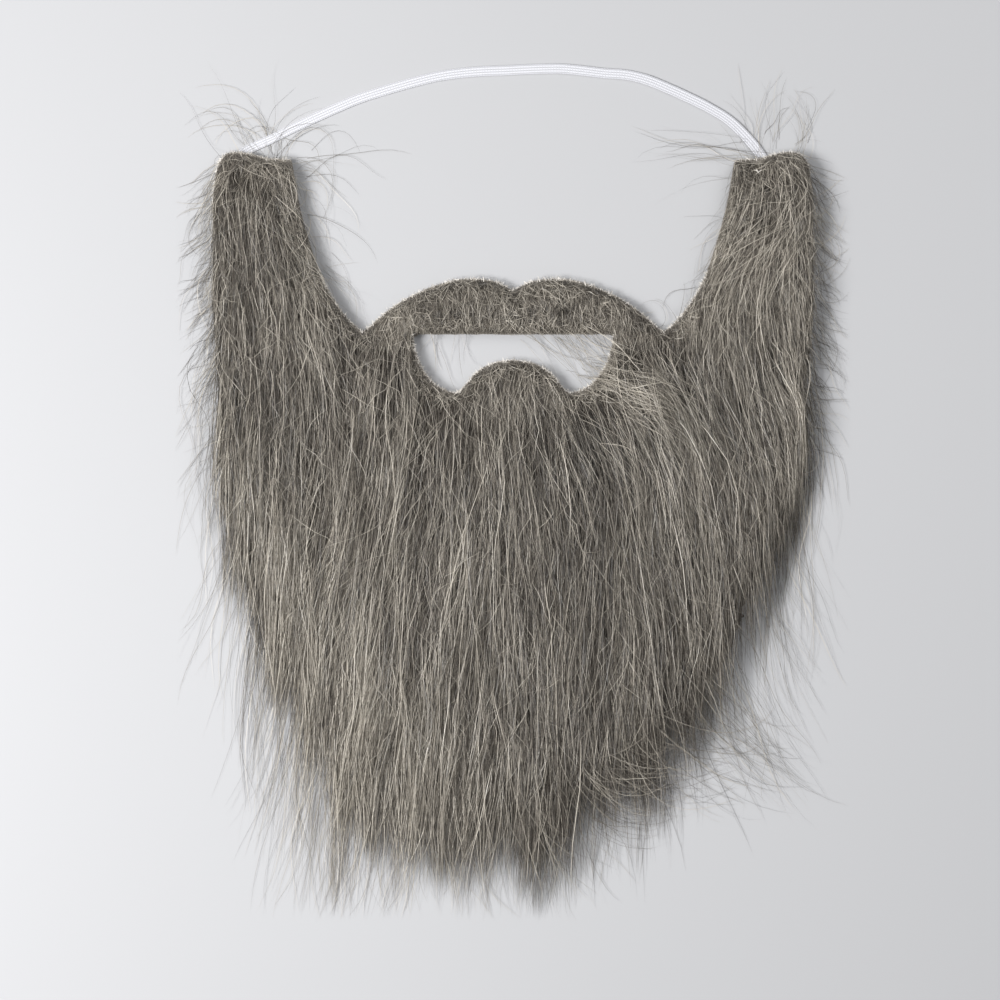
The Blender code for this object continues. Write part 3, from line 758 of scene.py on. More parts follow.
def laid(path, layer, pile):
    """Gives strands their height: up out of the foot, over it, and down to rest at the tip."""
    count = len(path)
    run = np.linalg.norm(np.diff(path, axis=1), axis=2).cumsum(axis=1)
    run = np.concatenate((np.zeros((count, 1)), run), axis=1)
    share = np.linspace(0, 1, path.shape[1])
    foot = foot_field().at(path)
    risen = 1 - np.exp(-run / pile.rise)
    on_fur = np.clip(foot / FULL_FOOT, 0, 1)
    height = foot - ROOT_DEPTH * (1 - risen)
    room = (LEAST_LOFT + (1 - LEAST_LOFT) * on_fur) * free_height(path)
    height += pile.loft * layer[:, None] * risen * (1 - pile.sag * share ** 1.5) * room
    height = np.clip(height, 2 * LOWEST, CAD_HIGH.z + LOOSE_HEIGHT)
    return np.dstack((path, height))


def shades(roots, layer, rng):
    """A shade from 0, dark, to 1, silver, for each strand, with painted shade on strands low in the pile and
    patches of painted light and shade.
    """
    shade = rng.normal(USUAL_SHADE, SHADE_SPREAD, len(roots))
    # painted shade: darker low in the pile, lighter on top
    shade = shade + PAINTED_SHADE_BY_LAYER * (np.minimum(layer, HIGHEST_LAYER) - SHADED_LAYER)
    for change, *hill in SHADE_DRIFTS:
        shade += change * soft_noise(roots, hill, rng)
    # patches of painted light and shade
    for x, y, reach, change in PAINTED_LIGHT_AND_SHADE_PATCHES:
        shade += change * nearness(roots, (x * MM, y * MM), reach * MM)
    chance = rng.random(len(roots))
    shade = np.where(chance < SILVER_SHARE, shade + SILVER_GAIN, shade)
    shade = np.where(chance > 1 - DARK_SHARE, shade - DARK_LOSS, shade)
    return np.clip(shade, 0, 1)


# Making meshes

def unit(vectors):
    """Vectors of length one."""
    return vectors / np.maximum(np.linalg.norm(vectors, axis=-1, keepdims=True), 1e-9)


def quick_mesh(name, points, corners, counts):
    """A smooth-shaded mesh from arrays: its points, its faces' corners, and the corners per face."""
    mesh = bpy.data.meshes.new(name)
    mesh.vertices.add(len(points))
    mesh.vertices.foreach_set("co", points.ravel().astype(np.float32))
    mesh.loops.add(len(corners))
    mesh.loops.foreach_set("vertex_index", corners.astype(np.int32))
    mesh.polygons.add(len(counts))
    starts = np.concatenate(([0], np.cumsum(counts)[:-1]))
    mesh.polygons.foreach_set("loop_start", starts.astype(np.int32))
    mesh.polygons.foreach_set("use_smooth", np.ones(len(counts), dtype=bool))
    mesh.update(calc_edges=True)
    return mesh


def add_values(mesh, name, values):
    """Keeps one number per point under a name that a material can read."""
    layer = mesh.attributes.new(name, "FLOAT", "POINT")
    layer.data.foreach_set("value", np.asarray(values, dtype=np.float32).ravel())


def strand_mesh(name, points, widths, shade, rng):
    """One mesh of flat strands, each turned its own way and drawn to a point."""
    count, stations, _ = points.shape
    rings = stations - 1
    share = np.linspace(0, 1, stations)
    forward = unit(np.gradient(points, axis=1))
    side = unit(np.cross(forward, (0.0, 0.0, 1.0)) + (1e-6, 0, 0))
    face = np.cross(side, forward)
    roll = rng.uniform(-1.15, 1.15, count)[:, None] + rng.normal(0, 0.8, count)[:, None] * share
    across = np.cos(roll)[:, :, None] * side + np.sin(roll)[:, :, None] * face
    taper = (0.75 + 0.25 * np.minimum(share * 6, 1)) * (1 - 0.75 * share ** 2.5)
    half = across * (widths[:, None] / 2 * taper)[:, :, None]
    block = 2 * rings + 1
    spots = np.empty((count, block, 3))
    spots[:, 0:-1:2] = (points + half)[:, :-1]
    spots[:, 1:-1:2] = (points - half)[:, :-1]
    spots[:, -1] = points[:, -1]
    spots[:, :, 2] = np.maximum(spots[:, :, 2], LOWEST)
    ladder = [(2 * ring, 2 * ring + 1, 2 * ring + 3, 2 * ring + 2) for ring in range(rings - 1)]
    pattern = np.concatenate((np.array(ladder).ravel(), (block - 3, block - 2, block - 1))).astype(int)
    corners = (pattern[None] + block * np.arange(count)[:, None]).ravel()
    mesh = quick_mesh(name, spots.reshape(-1, 3), corners, np.tile([4] * (rings - 1) + [3], count))
    station = np.append(np.repeat(share[:-1], 2), 1.0)
    add_values(mesh, "tone", np.repeat(shade, block))
    add_values(mesh, "along", np.tile(station, count))
    columns = int(math.ceil(math.sqrt(count * 2)))
    rows = int(math.ceil(count / columns))
    spot = np.arange(count)
    edge = np.append(np.tile([0.15, 0.85], rings), 0.5)
    across_page = (spot % columns)[:, None] + edge
    up_page = (spot // columns)[:, None] + 0.08 + 0.84 * station
    page = np.stack((across_page / columns, up_page / rows), axis=-1).reshape(-1, 2)
    layer = mesh.uv_layers.new(name="OFBake")
    layer.data.foreach_set("uv", page[corners].ravel().astype(np.float32))
    return mesh


def new_piece(name, mesh, material, slot, *nodes):
    """Puts a mesh in the scene as a piece of the beard, in place of the CAD nodes named."""
    before = bpy.data.objects.get(name)
    if before is not None:
        bpy.data.objects.remove(before)
    piece = bpy.data.objects.new(name, mesh)
    bpy.context.scene.collection.objects.link(piece)
    mesh.materials.clear()
    mesh.materials.append(material)
    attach(piece, BODY)
    if nodes:
        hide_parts(*nodes)
    return piece


def layers(count, rng, lift=None, wild=0.03):
    """Where each strand lies in the pile, from 0 at the bottom to 1, and more for a few wild ones."""
    layer = rng.random(count) ** 1.4
    if lift is not None:
        layer = 0.55 * layer + 0.45 * lift
    return np.where(rng.random(count) < wild, layer + 0.8, layer)


def strand_piece(name, path, layer, settings, rng):
    """Turns flat paths into a piece of strands with height, width and shade."""
    pile = PILES[name]
    points = laid(path, layer, pile)
    widths = settings.strand_width * pile.width * rng.uniform(0.60, 1.30, len(path))
    shade = np.clip(shades(path[:, 0], layer, rng) + pile.paler, 0, 1)
    widths *= 0.80 + 0.45 * shade
    mesh = strand_mesh(name, points, widths, shade, rng)
    slot, node = ("short_fur", "moustache_fur") if pile.short else ("long_fur", "beard_fur")
    return new_piece(name, mesh, strand_material(settings, pile.short), slot, node)


# Materials

def plug(tree, sockets, values):
    """Gives each socket its value, or a link from another node's output."""
    for name, value in values.items():
        if isinstance(value, bpy.types.NodeSocket):
            tree.links.new(value, sockets[name])
        else:
            sockets[name].default_value = value


def add_node(tree, kind, inputs=None, **settings):
    """A node with its settings; each input takes a value or another node's output."""
    node = tree.nodes.new(kind)
    for name, value in settings.items():
        setattr(node, name, value)
    plug(tree, node.inputs, inputs or {})
    return node


def object_place(tree):
    """The place of a point in its object."""
    return add_node(tree, "ShaderNodeTexCoord").outputs["Object"]


def kept_value(tree, name):
    """The number that a mesh keeps for its points under this name."""
    return add_node(tree, "ShaderNodeAttribute", attribute_name=name).outputs["Fac"]


def noise_at(tree, place, scale, detail, **more):
    """The outputs of a Noise Texture node."""
    inputs = {"Vector": place, "Scale": scale, "Detail": detail, **more}
    return add_node(tree, "ShaderNodeTexNoise", inputs).outputs


def arithmetic(tree, operation, first, second=0.0, clamp=False):
    """The output of a Math node."""
    inputs = {0: first, 1: second}
    return add_node(tree, "ShaderNodeMath", inputs, operation=operation, use_clamp=clamp).outputs[0]


def vector_sum(tree, operation, first, second):
    """The output of a Vector Math node."""
    return add_node(tree, "ShaderNodeVectorMath", {0: first, 1: second}, operation=operation).outputs[0]


def blended(tree, share, first, second, blend="MIX"):
    """The output of a colour Mix node."""
    inputs = {0: share, 6: first, 7: second}
    node = add_node(tree, "ShaderNodeMix", inputs, data_type="RGBA", blend_type=blend)
    return node.outputs[2]


def ranged(tree, value, from_low, from_high, to_low, to_high):
    """The output of a Map Range node."""
    inputs = {0: value, 1: from_low, 2: from_high, 3: to_low, 4: to_high}
    return add_node(tree, "ShaderNodeMapRange", inputs).outputs[0]


def bump(tree, height, strength, distance):
    """The normal of a Bump node."""
    inputs = {"Height": height, "Strength": strength, "Distance": distance}
    return add_node(tree, "ShaderNodeBump", inputs).outputs[0]


def new_group(name, inputs, outputs):
    """An empty shader node group with named sockets, and its two ends."""
    tree = bpy.data.node_groups.new(name, "ShaderNodeTree")
    for title, kind, value in inputs:
        socket = tree.interface.new_socket(title, in_out="INPUT", socket_type=kind)
        socket.default_value = value
    for title, kind in outputs:
        tree.interface.new_socket(title, in_out="OUTPUT", socket_type=kind)
    return tree, tree.nodes.new("NodeGroupInput").outputs, tree.nodes.new("NodeGroupOutput").inputs


@lru_cache(maxsize=None)
def fibre_group():
    """Colour and roughness of a strand from its shade and the way along it."""
    tree, given, result = new_group(
        "Fibre Colouring",
        [
            ("Dark", "NodeSocketColor", (0.05, 0.045, 0.04, 1)),
            ("Body", "NodeSocketColor", (0.3, 0.27, 0.24, 1)),
            ("Silver", "NodeSocketColor", (0.6, 0.57, 0.52, 1)),
            ("Root Shade", "NodeSocketFloat", 0.6),
        ],
        [("Colour", "NodeSocketColor"), ("Roughness", "NodeSocketFloat")],
    )
    along = kept_value(tree, "along")
    noise = noise_at(tree, object_place(tree), 260.0, 2.0)["Fac"]
    uneven = ranged(tree, noise, 0.3, 0.7, -0.08, 0.08)
    tone = arithmetic(tree, "ADD", kept_value(tree, "tone"), uneven)
    lower = blended(tree, ranged(tree, tone, 0.0, 0.5, 0.0, 1.0), given["Dark"], given["Body"])
    colour = blended(tree, ranged(tree, tone, 0.5, 1.0, 0.0, 1.0), lower, given["Silver"])
    rooted = ranged(tree, along, 0.0, 0.35, given["Root Shade"], 1.0)
    grey = add_node(tree, "ShaderNodeCombineXYZ", {axis: rooted for axis in range(3)}).outputs[0]
    plug(tree, result, {
        "Colour": blended(tree, 1.0, colour, grey, "MULTIPLY"),
        "Roughness": ranged(tree, noise, 0.3, 0.7, 0.36, 0.52),
    })
    return tree


@lru_cache(maxsize=None)
def streak_group():
    """Fine streaks that run with the hair, as a colour and as a height."""
    tree, given, result = new_group(
        "Fibre Streaks",
        [
            ("Light", "NodeSocketColor", (0.2, 0.18, 0.16, 1)),
            ("Dark", "NodeSocketColor", (0.03, 0.027, 0.024, 1)),
            ("Streaks per Metre", "NodeSocketFloat", 900.0),
        ],
        [("Colour", "NodeSocketColor"), ("Height", "NodeSocketFloat")],
    )
    place = object_place(tree)
    wander = noise_at(tree, place, 30.0, 1.0)["Color"]
    bent = vector_sum(tree, "MULTIPLY", wander, (0.012, 0.0, 0.0))
    drawn = vector_sum(tree, "MULTIPLY", vector_sum(tree, "ADD", place, bent), (1.0, 0.05, 0.4))
    streaks = noise_at(tree, drawn, given["Streaks per Metre"], 3.0, Roughness=0.6)
    share = ranged(tree, streaks["Fac"], 0.35, 0.68, 0.0, 1.0)
    plug(tree, result, {
        "Colour": blended(tree, share, given["Dark"], given["Light"]),
        "Height": share,
    })
    return tree


@lru_cache(maxsize=None)
def knit_group():
    """Rows of small knitted loops, as a height, with a soft fuzz over them."""
    tree, given, result = new_group(
        "Knitted Loops",
        [("Loops per Metre", "NodeSocketFloat", 900.0), ("Fuzz", "NodeSocketFloat", 0.3)],
        [("Height", "NodeSocketFloat"), ("Uneven", "NodeSocketFloat")],
    )
    place = object_place(tree)
    parts = add_node(tree, "ShaderNodeSeparateXYZ", {0: place})
    column = arithmetic(tree, "MULTIPLY", parts.outputs[0], given["Loops per Metre"])
    course = arithmetic(tree, "MULTIPLY", parts.outputs[1], given["Loops per Metre"])
    within = arithmetic(tree, "PINGPONG", column, 0.5)
    rib = ranged(tree, within, 0.0, 0.5, 0.0, 1.0)
    slant = arithmetic(tree, "ADD", course, arithmetic(tree, "MULTIPLY", within, 1.1))
    wave = arithmetic(tree, "SINE", arithmetic(tree, "MULTIPLY", slant, 2 * math.pi))
    loop = arithmetic(tree, "MULTIPLY", ranged(tree, wave, -1.0, 1.0, 0.25, 1.0), rib)
    noise = noise_at(tree, place, 700.0, 3.0)["Fac"]
    fuzz = arithmetic(tree, "MULTIPLY", noise, given["Fuzz"])
    plug(tree, result, {"Height": arithmetic(tree, "ADD", loop, fuzz), "Uneven": noise})
    return tree


def new_material(name):
    """A material, its nodes and its main shader's inputs; one already made under this name goes."""
    before = bpy.data.materials.get(name)
    if before is not None:
        bpy.data.materials.remove(before)
    material = bpy.data.materials.new(name)
    material.use_nodes = True
    return material, material.node_tree, material.node_tree.nodes["Principled BSDF"].inputs


def with_alpha(colour, factor=1.0):
    """A colour of four numbers, made lighter or darker by a factor."""
    return (colour[0] * factor, colour[1] * factor, colour[2] * factor, 1.0)


def strand_material(settings, short):
    """Matt synthetic fibre, dark at the root, with silver strands among the taupe ones."""
    name = "Short pile strands" if short else "Long pile strands"
    if name in bpy.data.materials:
        return bpy.data.materials[name]
    material, tree, surface = new_material(name)
    fibre = add_node(tree, "ShaderNodeGroup", {
        "Dark": with_alpha(settings.dark_colour),
        "Body": with_alpha(settings.body_colour, 1.15 if short else 1.0),
        "Silver": with_alpha(settings.silver_colour),
        "Root Shade": 0.92 if short else 0.82,
    }, node_tree=fibre_group()).outputs
    plug(tree, surface, {
        "Base Color": fibre["Colour"],
        "Roughness": fibre["Roughness"],
        "Specular IOR Level": 0.55,
        "Sheen Weight": 0.10,
        "Sheen Roughness": 0.4,
    })
    return material


def foot_material(settings):
    """The dense foot of the pile between the strands, painted darker than the strands as shade under them.
    """
    material, tree, surface = new_material("Fur foot")
    # the strands' colours made darker: painted shade of the strands above the foot
    streaks = add_node(tree, "ShaderNodeGroup", {
        "Light": with_alpha(settings.body_colour, 0.75),
        "Dark": with_alpha(settings.dark_colour, 0.7),
    }, node_tree=streak_group()).outputs
    plug(tree, surface, {
        "Base Color": streaks["Colour"],
        "Normal": bump(tree, streaks["Height"], 0.8, 0.0006),
        "Roughness": 0.8,
        "Specular IOR Level": 0.25,
    })
    return material


def knit_material(settings):
    """The knitted base of the fur fabric, with painted shade in the hollows between its loops."""
    material, tree, surface = new_material("Knitted backing")
    knit = add_node(tree, "ShaderNodeGroup", {
        "Loops per Metre": 1 / settings.loop_width,
        "Fuzz": 0.35,
    }, node_tree=knit_group()).outputs
    # painted shade: darker where the loops lie low, in the hollows between them
    shade = ranged(tree, knit["Height"], 0.1, 1.1, 0.0, 1.0)
    worn = ranged(tree, knit["Uneven"], 0.35, 0.65, 0.0, 0.25)
    dark, dull, light = (with_alpha(settings.knit_colour, factor) for factor in (0.45, 0.7, 1.0))
    plug(tree, surface, {
        "Base Color": blended(tree, worn, blended(tree, shade, dark, light), dull),
        "Normal": bump(tree, knit["Height"], 0.7, 0.0004),
        "Roughness": 0.9,
        "Sheen Weight": 0.25,
    })
    return material


def elastic_material(settings):
    """White braided elastic: fine crossing threads over the ribs of rubber, with painted shade in the
    grooves between the ribs and between the threads.
    """
    material, tree, surface = new_material("Braided white elastic")
    across = kept_value(tree, "across")
    threads = arithmetic(tree, "MULTIPLY", kept_value(tree, "along"), 2 * math.pi / settings.braid_step)
    slant = arithmetic(tree, "MULTIPLY", across, 2 * math.pi * settings.ribs / 2)
    one_way = arithmetic(tree, "SINE", arithmetic(tree, "ADD", threads, slant))
    other_way = arithmetic(tree, "SINE", arithmetic(tree, "SUBTRACT", threads, slant))
    braid = ranged(tree, arithmetic(tree, "MAXIMUM", one_way, other_way), -0.6, 1.0, 0.0, 1.0)
    turn = arithmetic(tree, "MULTIPLY", across, math.pi * settings.ribs / 2)
    rib = arithmetic(tree, "ABSOLUTE", arithmetic(tree, "COSINE", turn))
    rib_groove_shade = ranged(tree, rib, 0.0, 0.60, 0.0, 1.0)
    # painted shade: darker in the grooves between the ribs and in the dips between the threads
    shade = arithmetic(tree, "MULTIPLY", ranged(tree, braid, 0.0, 1.0, 0.55, 1.0), rib_groove_shade)
    dark, light = (with_alpha(settings.elastic_colour, factor) for factor in (0.42, 1.0))
    plug(tree, surface, {
        "Base Color": blended(tree, shade, dark, light),
        "Normal": bump(tree, braid, 0.5, 0.0002),
        "Roughness": 0.62,
        "Sheen Weight": 0.2,
    })
    return material


def thread_material():
    """Pale sewing thread and cut ends of the knit."""
    if "Pale thread" in bpy.data.materials:
        return bpy.data.materials["Pale thread"]
    material, tree, surface = new_material("Pale thread")
    noise = noise_at(tree, object_place(tree), 900.0, 2.0)["Fac"]
    share = ranged(tree, noise, 0.35, 0.65, 0.0, 1.0)
    plug(tree, surface, {
        "Base Color": blended(tree, share, (0.50, 0.46, 0.41, 1), (0.84, 0.80, 0.74, 1)),
        "Normal": bump(tree, noise, 0.4, 0.0001),
        "Roughness": 0.6,
    })
    return material


# Settings that a user can change

def length_setting(name, description, default, **limits):
    """A length that a user can change."""
    return FloatProperty(
        name=name, description=description, default=default, precision=5, unit="LENGTH", **limits)


def colour_setting(name, description, default):
    """A colour that a user can change."""
    return FloatVectorProperty(
        name=name, description=description, default=default, subtype="COLOR", min=0, max=1)


class FurSettings(bpy.types.PropertyGroup):
    """Sizes and colours of the strands."""

    strand_width: length_setting(
        "Strand Width", "Widest part of a strand", 0.000165, min=0.00005, max=0.001)
    fullness: FloatProperty(
        name="Fullness", description="Share of the full number of strands", default=1.0,
        min=0.1, max=1.0, subtype="FACTOR")
    moustache_length: length_setting("Moustache Length", "Longest trimmed strand above the mouth", 0.0125)
    tab_length: length_setting("Side Length", "Usual strand on the side tabs", 0.043)
    beard_length: length_setting("Beard Length", "Usual strand on the cheeks and chin", 0.082)
    fringe_left_length: length_setting("Left Fringe", "Usual strand past the lower left edge", 0.080)
    fringe_right_length: length_setting("Right Fringe", "Usual strand past the lower right edge", 0.054)
    dark_colour: colour_setting("Dark Strands", "Colour of the darkest strands", (0.034, 0.028, 0.022))
    body_colour: colour_setting("Body Colour", "Colour of most strands", (0.150, 0.130, 0.106))
    silver_colour: colour_setting(
        "Silver Strands", "Colour of the lightest strands", (0.570, 0.520, 0.440))


class ClothSettings(bpy.types.PropertyGroup):
    """Knit of the backing and the fibres at its cut edge."""

    knit_colour: colour_setting("Knit Colour", "Colour of the knitted backing", (0.42, 0.38, 0.33))
    loop_width: length_setting("Loop Width", "Width of one knitted loop", 0.0011)
    fray: length_setting("Fray", "How uneven the cut edge is", 0.00022)
    fibre_length: length_setting("Cut Fibres", "Longest fibre at the cut edge", 0.0017)


class ElasticSettings(bpy.types.PropertyGroup):
    """The flat white elastic."""

    width: length_setting("Width", "Across the flat band", 0.0040)
    thickness: length_setting("Thickness", "Through the flat band", 0.0009)
    ribs: IntProperty(name="Ribs", description="Rubber threads side by side", default=4, min=2, max=8)
    braid_step: length_setting("Braid Step", "Length of one crossing of the braid", 0.0011)
    elastic_colour: colour_setting("Elastic Colour", "Colour of the braid", (0.76, 0.76, 0.80))


class StageSettings(bpy.types.PropertyGroup):
    """Camera, floor and lights."""

    camera_height: length_setting("Camera Height", "Camera above the floor", 1.1)
    view_width: length_setting("View Width", "Width of floor that the camera sees", 0.4)
    key_power: FloatProperty(
        name="Key Light", description="Power of the light at the left", default=18.0, unit="POWER")
    fill_power: FloatProperty(
        name="Fill Light", description="Power of the light at the upper right", default=6.0,
        unit="POWER")
    floor_colour: colour_setting("Floor Colour", "Colour of the plain floor", (0.50, 0.50, 0.51))


# Stage

class BEARD_OT_stage(bpy.types.Operator):
    """Camera straight above, a pale floor and soft lights"""

    bl_idname = "beard.stage"
    bl_label = "Set Up Stage"

    def execute(self, context):
        settings = context.scene.beard_stage
        middle = Vector(PICTURE_MIDDLE)
        camera_data = bpy.data.cameras.new("Camera above")
        camera_data.sensor_width = SENSOR_WIDTH
        camera_data.lens = SENSOR_WIDTH * settings.camera_height / settings.view_width
        camera = bpy.data.objects.new("Camera above", camera_data)
        camera.location = middle + Vector((0, 0, settings.camera_height))
        context.scene.collection.objects.link(camera)
        context.scene.camera = camera
        self.floor(context, settings)
        for (name, place, size), power in zip(LIGHTS, (settings.key_power, settings.fill_power)):
            self.light(context, name, place, size, power, middle)
        world = bpy.data.worlds.new("Pale studio")
        world.use_nodes = True
        sky = world.node_tree.nodes["Background"].inputs
        plug(world.node_tree, sky, {"Color": (0.86, 0.88, 0.90, 1), "Strength": 0.36})
        context.scene.world = world
        context.scene.view_settings.view_transform = "Standard"
        return {"FINISHED"}

    def floor(self, context, settings):
        """A wide floor at the height the beard lies on."""
        reach = FLOOR_REACH
        corners = [(-reach, -reach, 0), (reach, -reach, 0), (reach, reach, 0), (-reach, reach, 0)]
        mesh = bpy.data.meshes.new("Studio floor")
        mesh.from_pydata(corners, [], [(0, 1, 2, 3)])
        floor = bpy.data.objects.new("Studio_floor", mesh)
        context.scene.collection.objects.link(floor)
        material, tree, surface = new_material("Studio floor")
        noise = noise_at(tree, object_place(tree), 3.0, 2.0)["Fac"]
        light, dull = (with_alpha(settings.floor_colour, factor) for factor in (1.0, 0.97))
        plug(tree, surface, {
            "Base Color": blended(tree, noise, light, dull),
            "Roughness": 0.85,
            "Specular IOR Level": 0.2,
        })
        mesh.materials.append(material)

    def light(self, context, name, place, size, power, aim):
        """A square soft light that looks at the beard."""
        data = bpy.data.lights.new(name, "AREA")
        data.energy = power
        data.size = size
        light = bpy.data.objects.new(name, data)
        light.location = place
        light.rotation_euler = (aim - light.location).to_track_quat("-Z", "Y").to_euler()
        context.scene.collection.objects.link(light)


# Elastic

def curve_through(points, steps):
    """Points on a smooth curve through the given ones."""
    ends = np.vstack((2 * points[0] - points[1], points, 2 * points[-1] - points[-2]))
    share = (np.arange(steps) / steps)[:, None]
    curve = []
    for a, b, c, d in zip(ends, ends[1:], ends[2:], ends[3:]):
        cubic = (3 * b - a - 3 * c + d) * share + 2 * a - 5 * b + 4 * c - d
        curve.append(((cubic * share + c - a) * share + 2 * b) / 2)
    return np.vstack((*curve, points[-1]))


def spaced(points, count):
    """Points at equal distances along a line."""
    steps = np.linalg.norm(np.diff(points, axis=0), axis=1)
    run = np.concatenate(([0], np.cumsum(steps)))
    wanted = np.linspace(0, run[-1], count)
    return np.stack([np.interp(wanted, run, points[:, axis]) for axis in range(points.shape[1])], axis=1)


def tube_arrays(points, profile_width, profile_height, profile):
    """Rings of a profile swept along points; profile holds (across, up) pairs from -1 to 1."""
    forward = unit(np.gradient(points, axis=0))
    side = unit(np.cross(forward, (0.0, 0.0, 1.0)))
    up = np.cross(side, forward)
    wide = profile[:, 0][None, :, None] * side[:, None] * (profile_width / 2)[:, None, None]
    high = profile[:, 1][None, :, None] * up[:, None] * (profile_height / 2)[:, None, None]
    rings = points[:, None] + wide + high
    count, sides = rings.shape[:2]
    spot = np.arange(sides)
    after = (spot + 1) % sides
    quads = np.stack((spot, after, after + sides, spot + sides), axis=1)
    faces = (quads[None] + sides * np.arange(count - 1)[:, None, None]).reshape(-1, 4)
    caps = np.concatenate((spot[::-1], spot + sides * (count - 1)))
    return rings.reshape(-1, 3), faces, caps, sides


def swept_mesh(name, tubes):
    """One mesh of several swept bands or threads, each closed at its ends."""
    points = []
    corners = []
    counts = []
    first = 0
    for spots, faces, caps, sides in tubes:
        points.append(spots)
        corners.append(np.concatenate((faces.ravel(), caps)) + first)
        counts.append(np.concatenate((np.full(len(faces), 4), (sides, sides))))
        first += len(spots)
    return quick_mesh(name, np.concatenate(points), np.concatenate(corners), np.concatenate(counts))


class BEARD_OT_elastic(bpy.types.Operator):
    """Ribbed white elastic laid along its route, with its ends under the tabs"""

    bl_idname = "beard.elastic"
    bl_label = "Lay Elastic"

    def execute(self, context):
        settings = context.scene.beard_elastic
        route = np.array([(x, y, settings.thickness / 2) for x, y in STRAP_ROUTE])
        middle = spaced(curve_through(route, CURVE_STEPS), BAND_STATIONS)
        length = float(np.linalg.norm(np.diff(middle, axis=0), axis=1).sum())
        share = np.linspace(0, 1, len(middle))
        pulled = sum(less * np.exp(-((share - where) / over) ** 2) for less, where, over in BAND_PULLS)
        width = settings.width * (1 - pulled)
        thickness = np.full(len(middle), settings.thickness)
        profile = self.profile(settings.ribs)
        mesh = swept_mesh("elastic_band", [tube_arrays(middle, width, thickness, profile)])
        add_values(mesh, "along", np.repeat(share * length, len(profile)))
        add_values(mesh, "across", np.tile(profile[:, 0], len(middle)))
        material = elastic_material(settings)
        band = new_piece("elastic_band", mesh, material, "white_elastic", "elastic_strap")
        return {"FINISHED"}

    def profile(self, ribs):
        """The band cut across: a row of ribs above and below, round at both sides."""
        across = np.linspace(-0.94, 0.94, ribs * 3 + 1)
        swell = 0.68 + 0.32 * np.abs(np.sin((across + 1) * math.pi * ribs / 2))
        above = np.stack((across, swell), axis=1)
        below = np.stack((across[::-1], -swell[::-1]), axis=1)
        return np.vstack((below, [(-1.0, 0.0)], above, [(1.0, 0.0)]))


# Backing and foot of the fur

def cloth_levels(places):
    """Under and upper side of the CAD cloth at places, taken a little inside the edge."""
    tree = solid_tree("backing_cloth")
    levels = []
    for x, y in places:
        over = tree.ray_cast((x, y, 0.1), (0, 0, -1))[0]
        under = tree.ray_cast((x, y, -0.1), (0, 0, 1))[0]
        if over is None or under is None:
            near = tree.find_nearest((x, y, CLOTH_THICKNESS / 2))[0]
            spot = (near.x + (near.x - x) * 0.5, near.y + (near.y - y) * 0.5)
            over = tree.ray_cast((*spot, 0.1), (0, 0, -1))[0]
            under = tree.ray_cast((*spot, -0.1), (0, 0, 1))[0]
        levels.append((under.z, over.z) if over and under else (0.0, CLOTH_THICKNESS))
    return np.array(levels)


class BEARD_OT_backing(bpy.types.Operator):
    """Knitted backing cut to the beard's outline, with a slightly frayed edge"""

    bl_idname = "beard.backing"
    bl_label = "Cut Backing"

    def execute(self, context):
        settings = context.scene.beard_cloth
        rng = np.random.default_rng(SEED + 1)
        loops = [self.frayed(loop, settings.fray, rng) for loop in cloth_edges()]
        inner = self.inner_points()
        points = [Vector(spot) for loop in loops for spot in loop] + [Vector(spot) for spot in inner]
        edges = []
        first = 0
        for loop in loops:
            count = len(loop)
            edges += [(first + i, first + (i + 1) % count) for i in range(count)]
            first += count
        plan, _, faces, *_ = geometry.delaunay_2d_cdt(points, edges, [], 0, 1e-7)
        plan = np.array([tuple(spot) for spot in plan])
        middles = np.array([plan[list(face)].mean(axis=0) for face in faces])
        kept = [face for face, depth in zip(faces, depth_in_cloth(middles)) if depth > -settings.fray]
        mesh = self.thick(plan, kept)
        piece = new_piece("knit_backing", mesh, knit_material(settings), "backing_knit", "backing_cloth")
        return {"FINISHED"}

    def frayed(self, loop, fray, rng):
        """An edge with close points, each a little out of line."""
        closed = np.vstack((loop, loop[:1]))
        length = np.linalg.norm(np.diff(closed, axis=0), axis=1).sum()
        points = spaced(closed, int(length / EDGE_STEP) + 1)[:-1]
        return points + rng.uniform(-1, 1, points.shape) * fray

    def inner_points(self):
        """A grid of points well inside the cloth, so that it can bend."""
        x = np.arange(CLOTH_LOW.x, CLOTH_HIGH.x, CLOTH_STEP)
        y = np.arange(CLOTH_LOW.y, CLOTH_HIGH.y, CLOTH_STEP)
        grid = np.stack(np.meshgrid(x, y), axis=-1).reshape(-1, 2)
        return grid[depth_in_cloth(grid) > CLOTH_RIM]

    def thick(self, plan, faces):
        """The cloth with both sides and its cut edge."""
        levels = cloth_levels(plan)
        count = len(plan)
        under = np.column_stack((plan, levels[:, 0]))
        over = np.column_stack((plan, levels[:, 1]))
        sides = {(a, b) for face in faces for a, b in zip(face, face[1:] + face[:1])}
        border = [(a, b) for a, b in sides if (b, a) not in sides]
        polygons = [[a + count for a in face] for face in faces]
        polygons += [list(reversed(face)) for face in faces]
        polygons += [[a, b, b + count, a + count] for a, b in border]
        mesh = bpy.data.meshes.new("knit_backing")
        mesh.from_pydata(np.vstack((under, over)).tolist(), [], polygons)
        mesh.update()
        return mesh


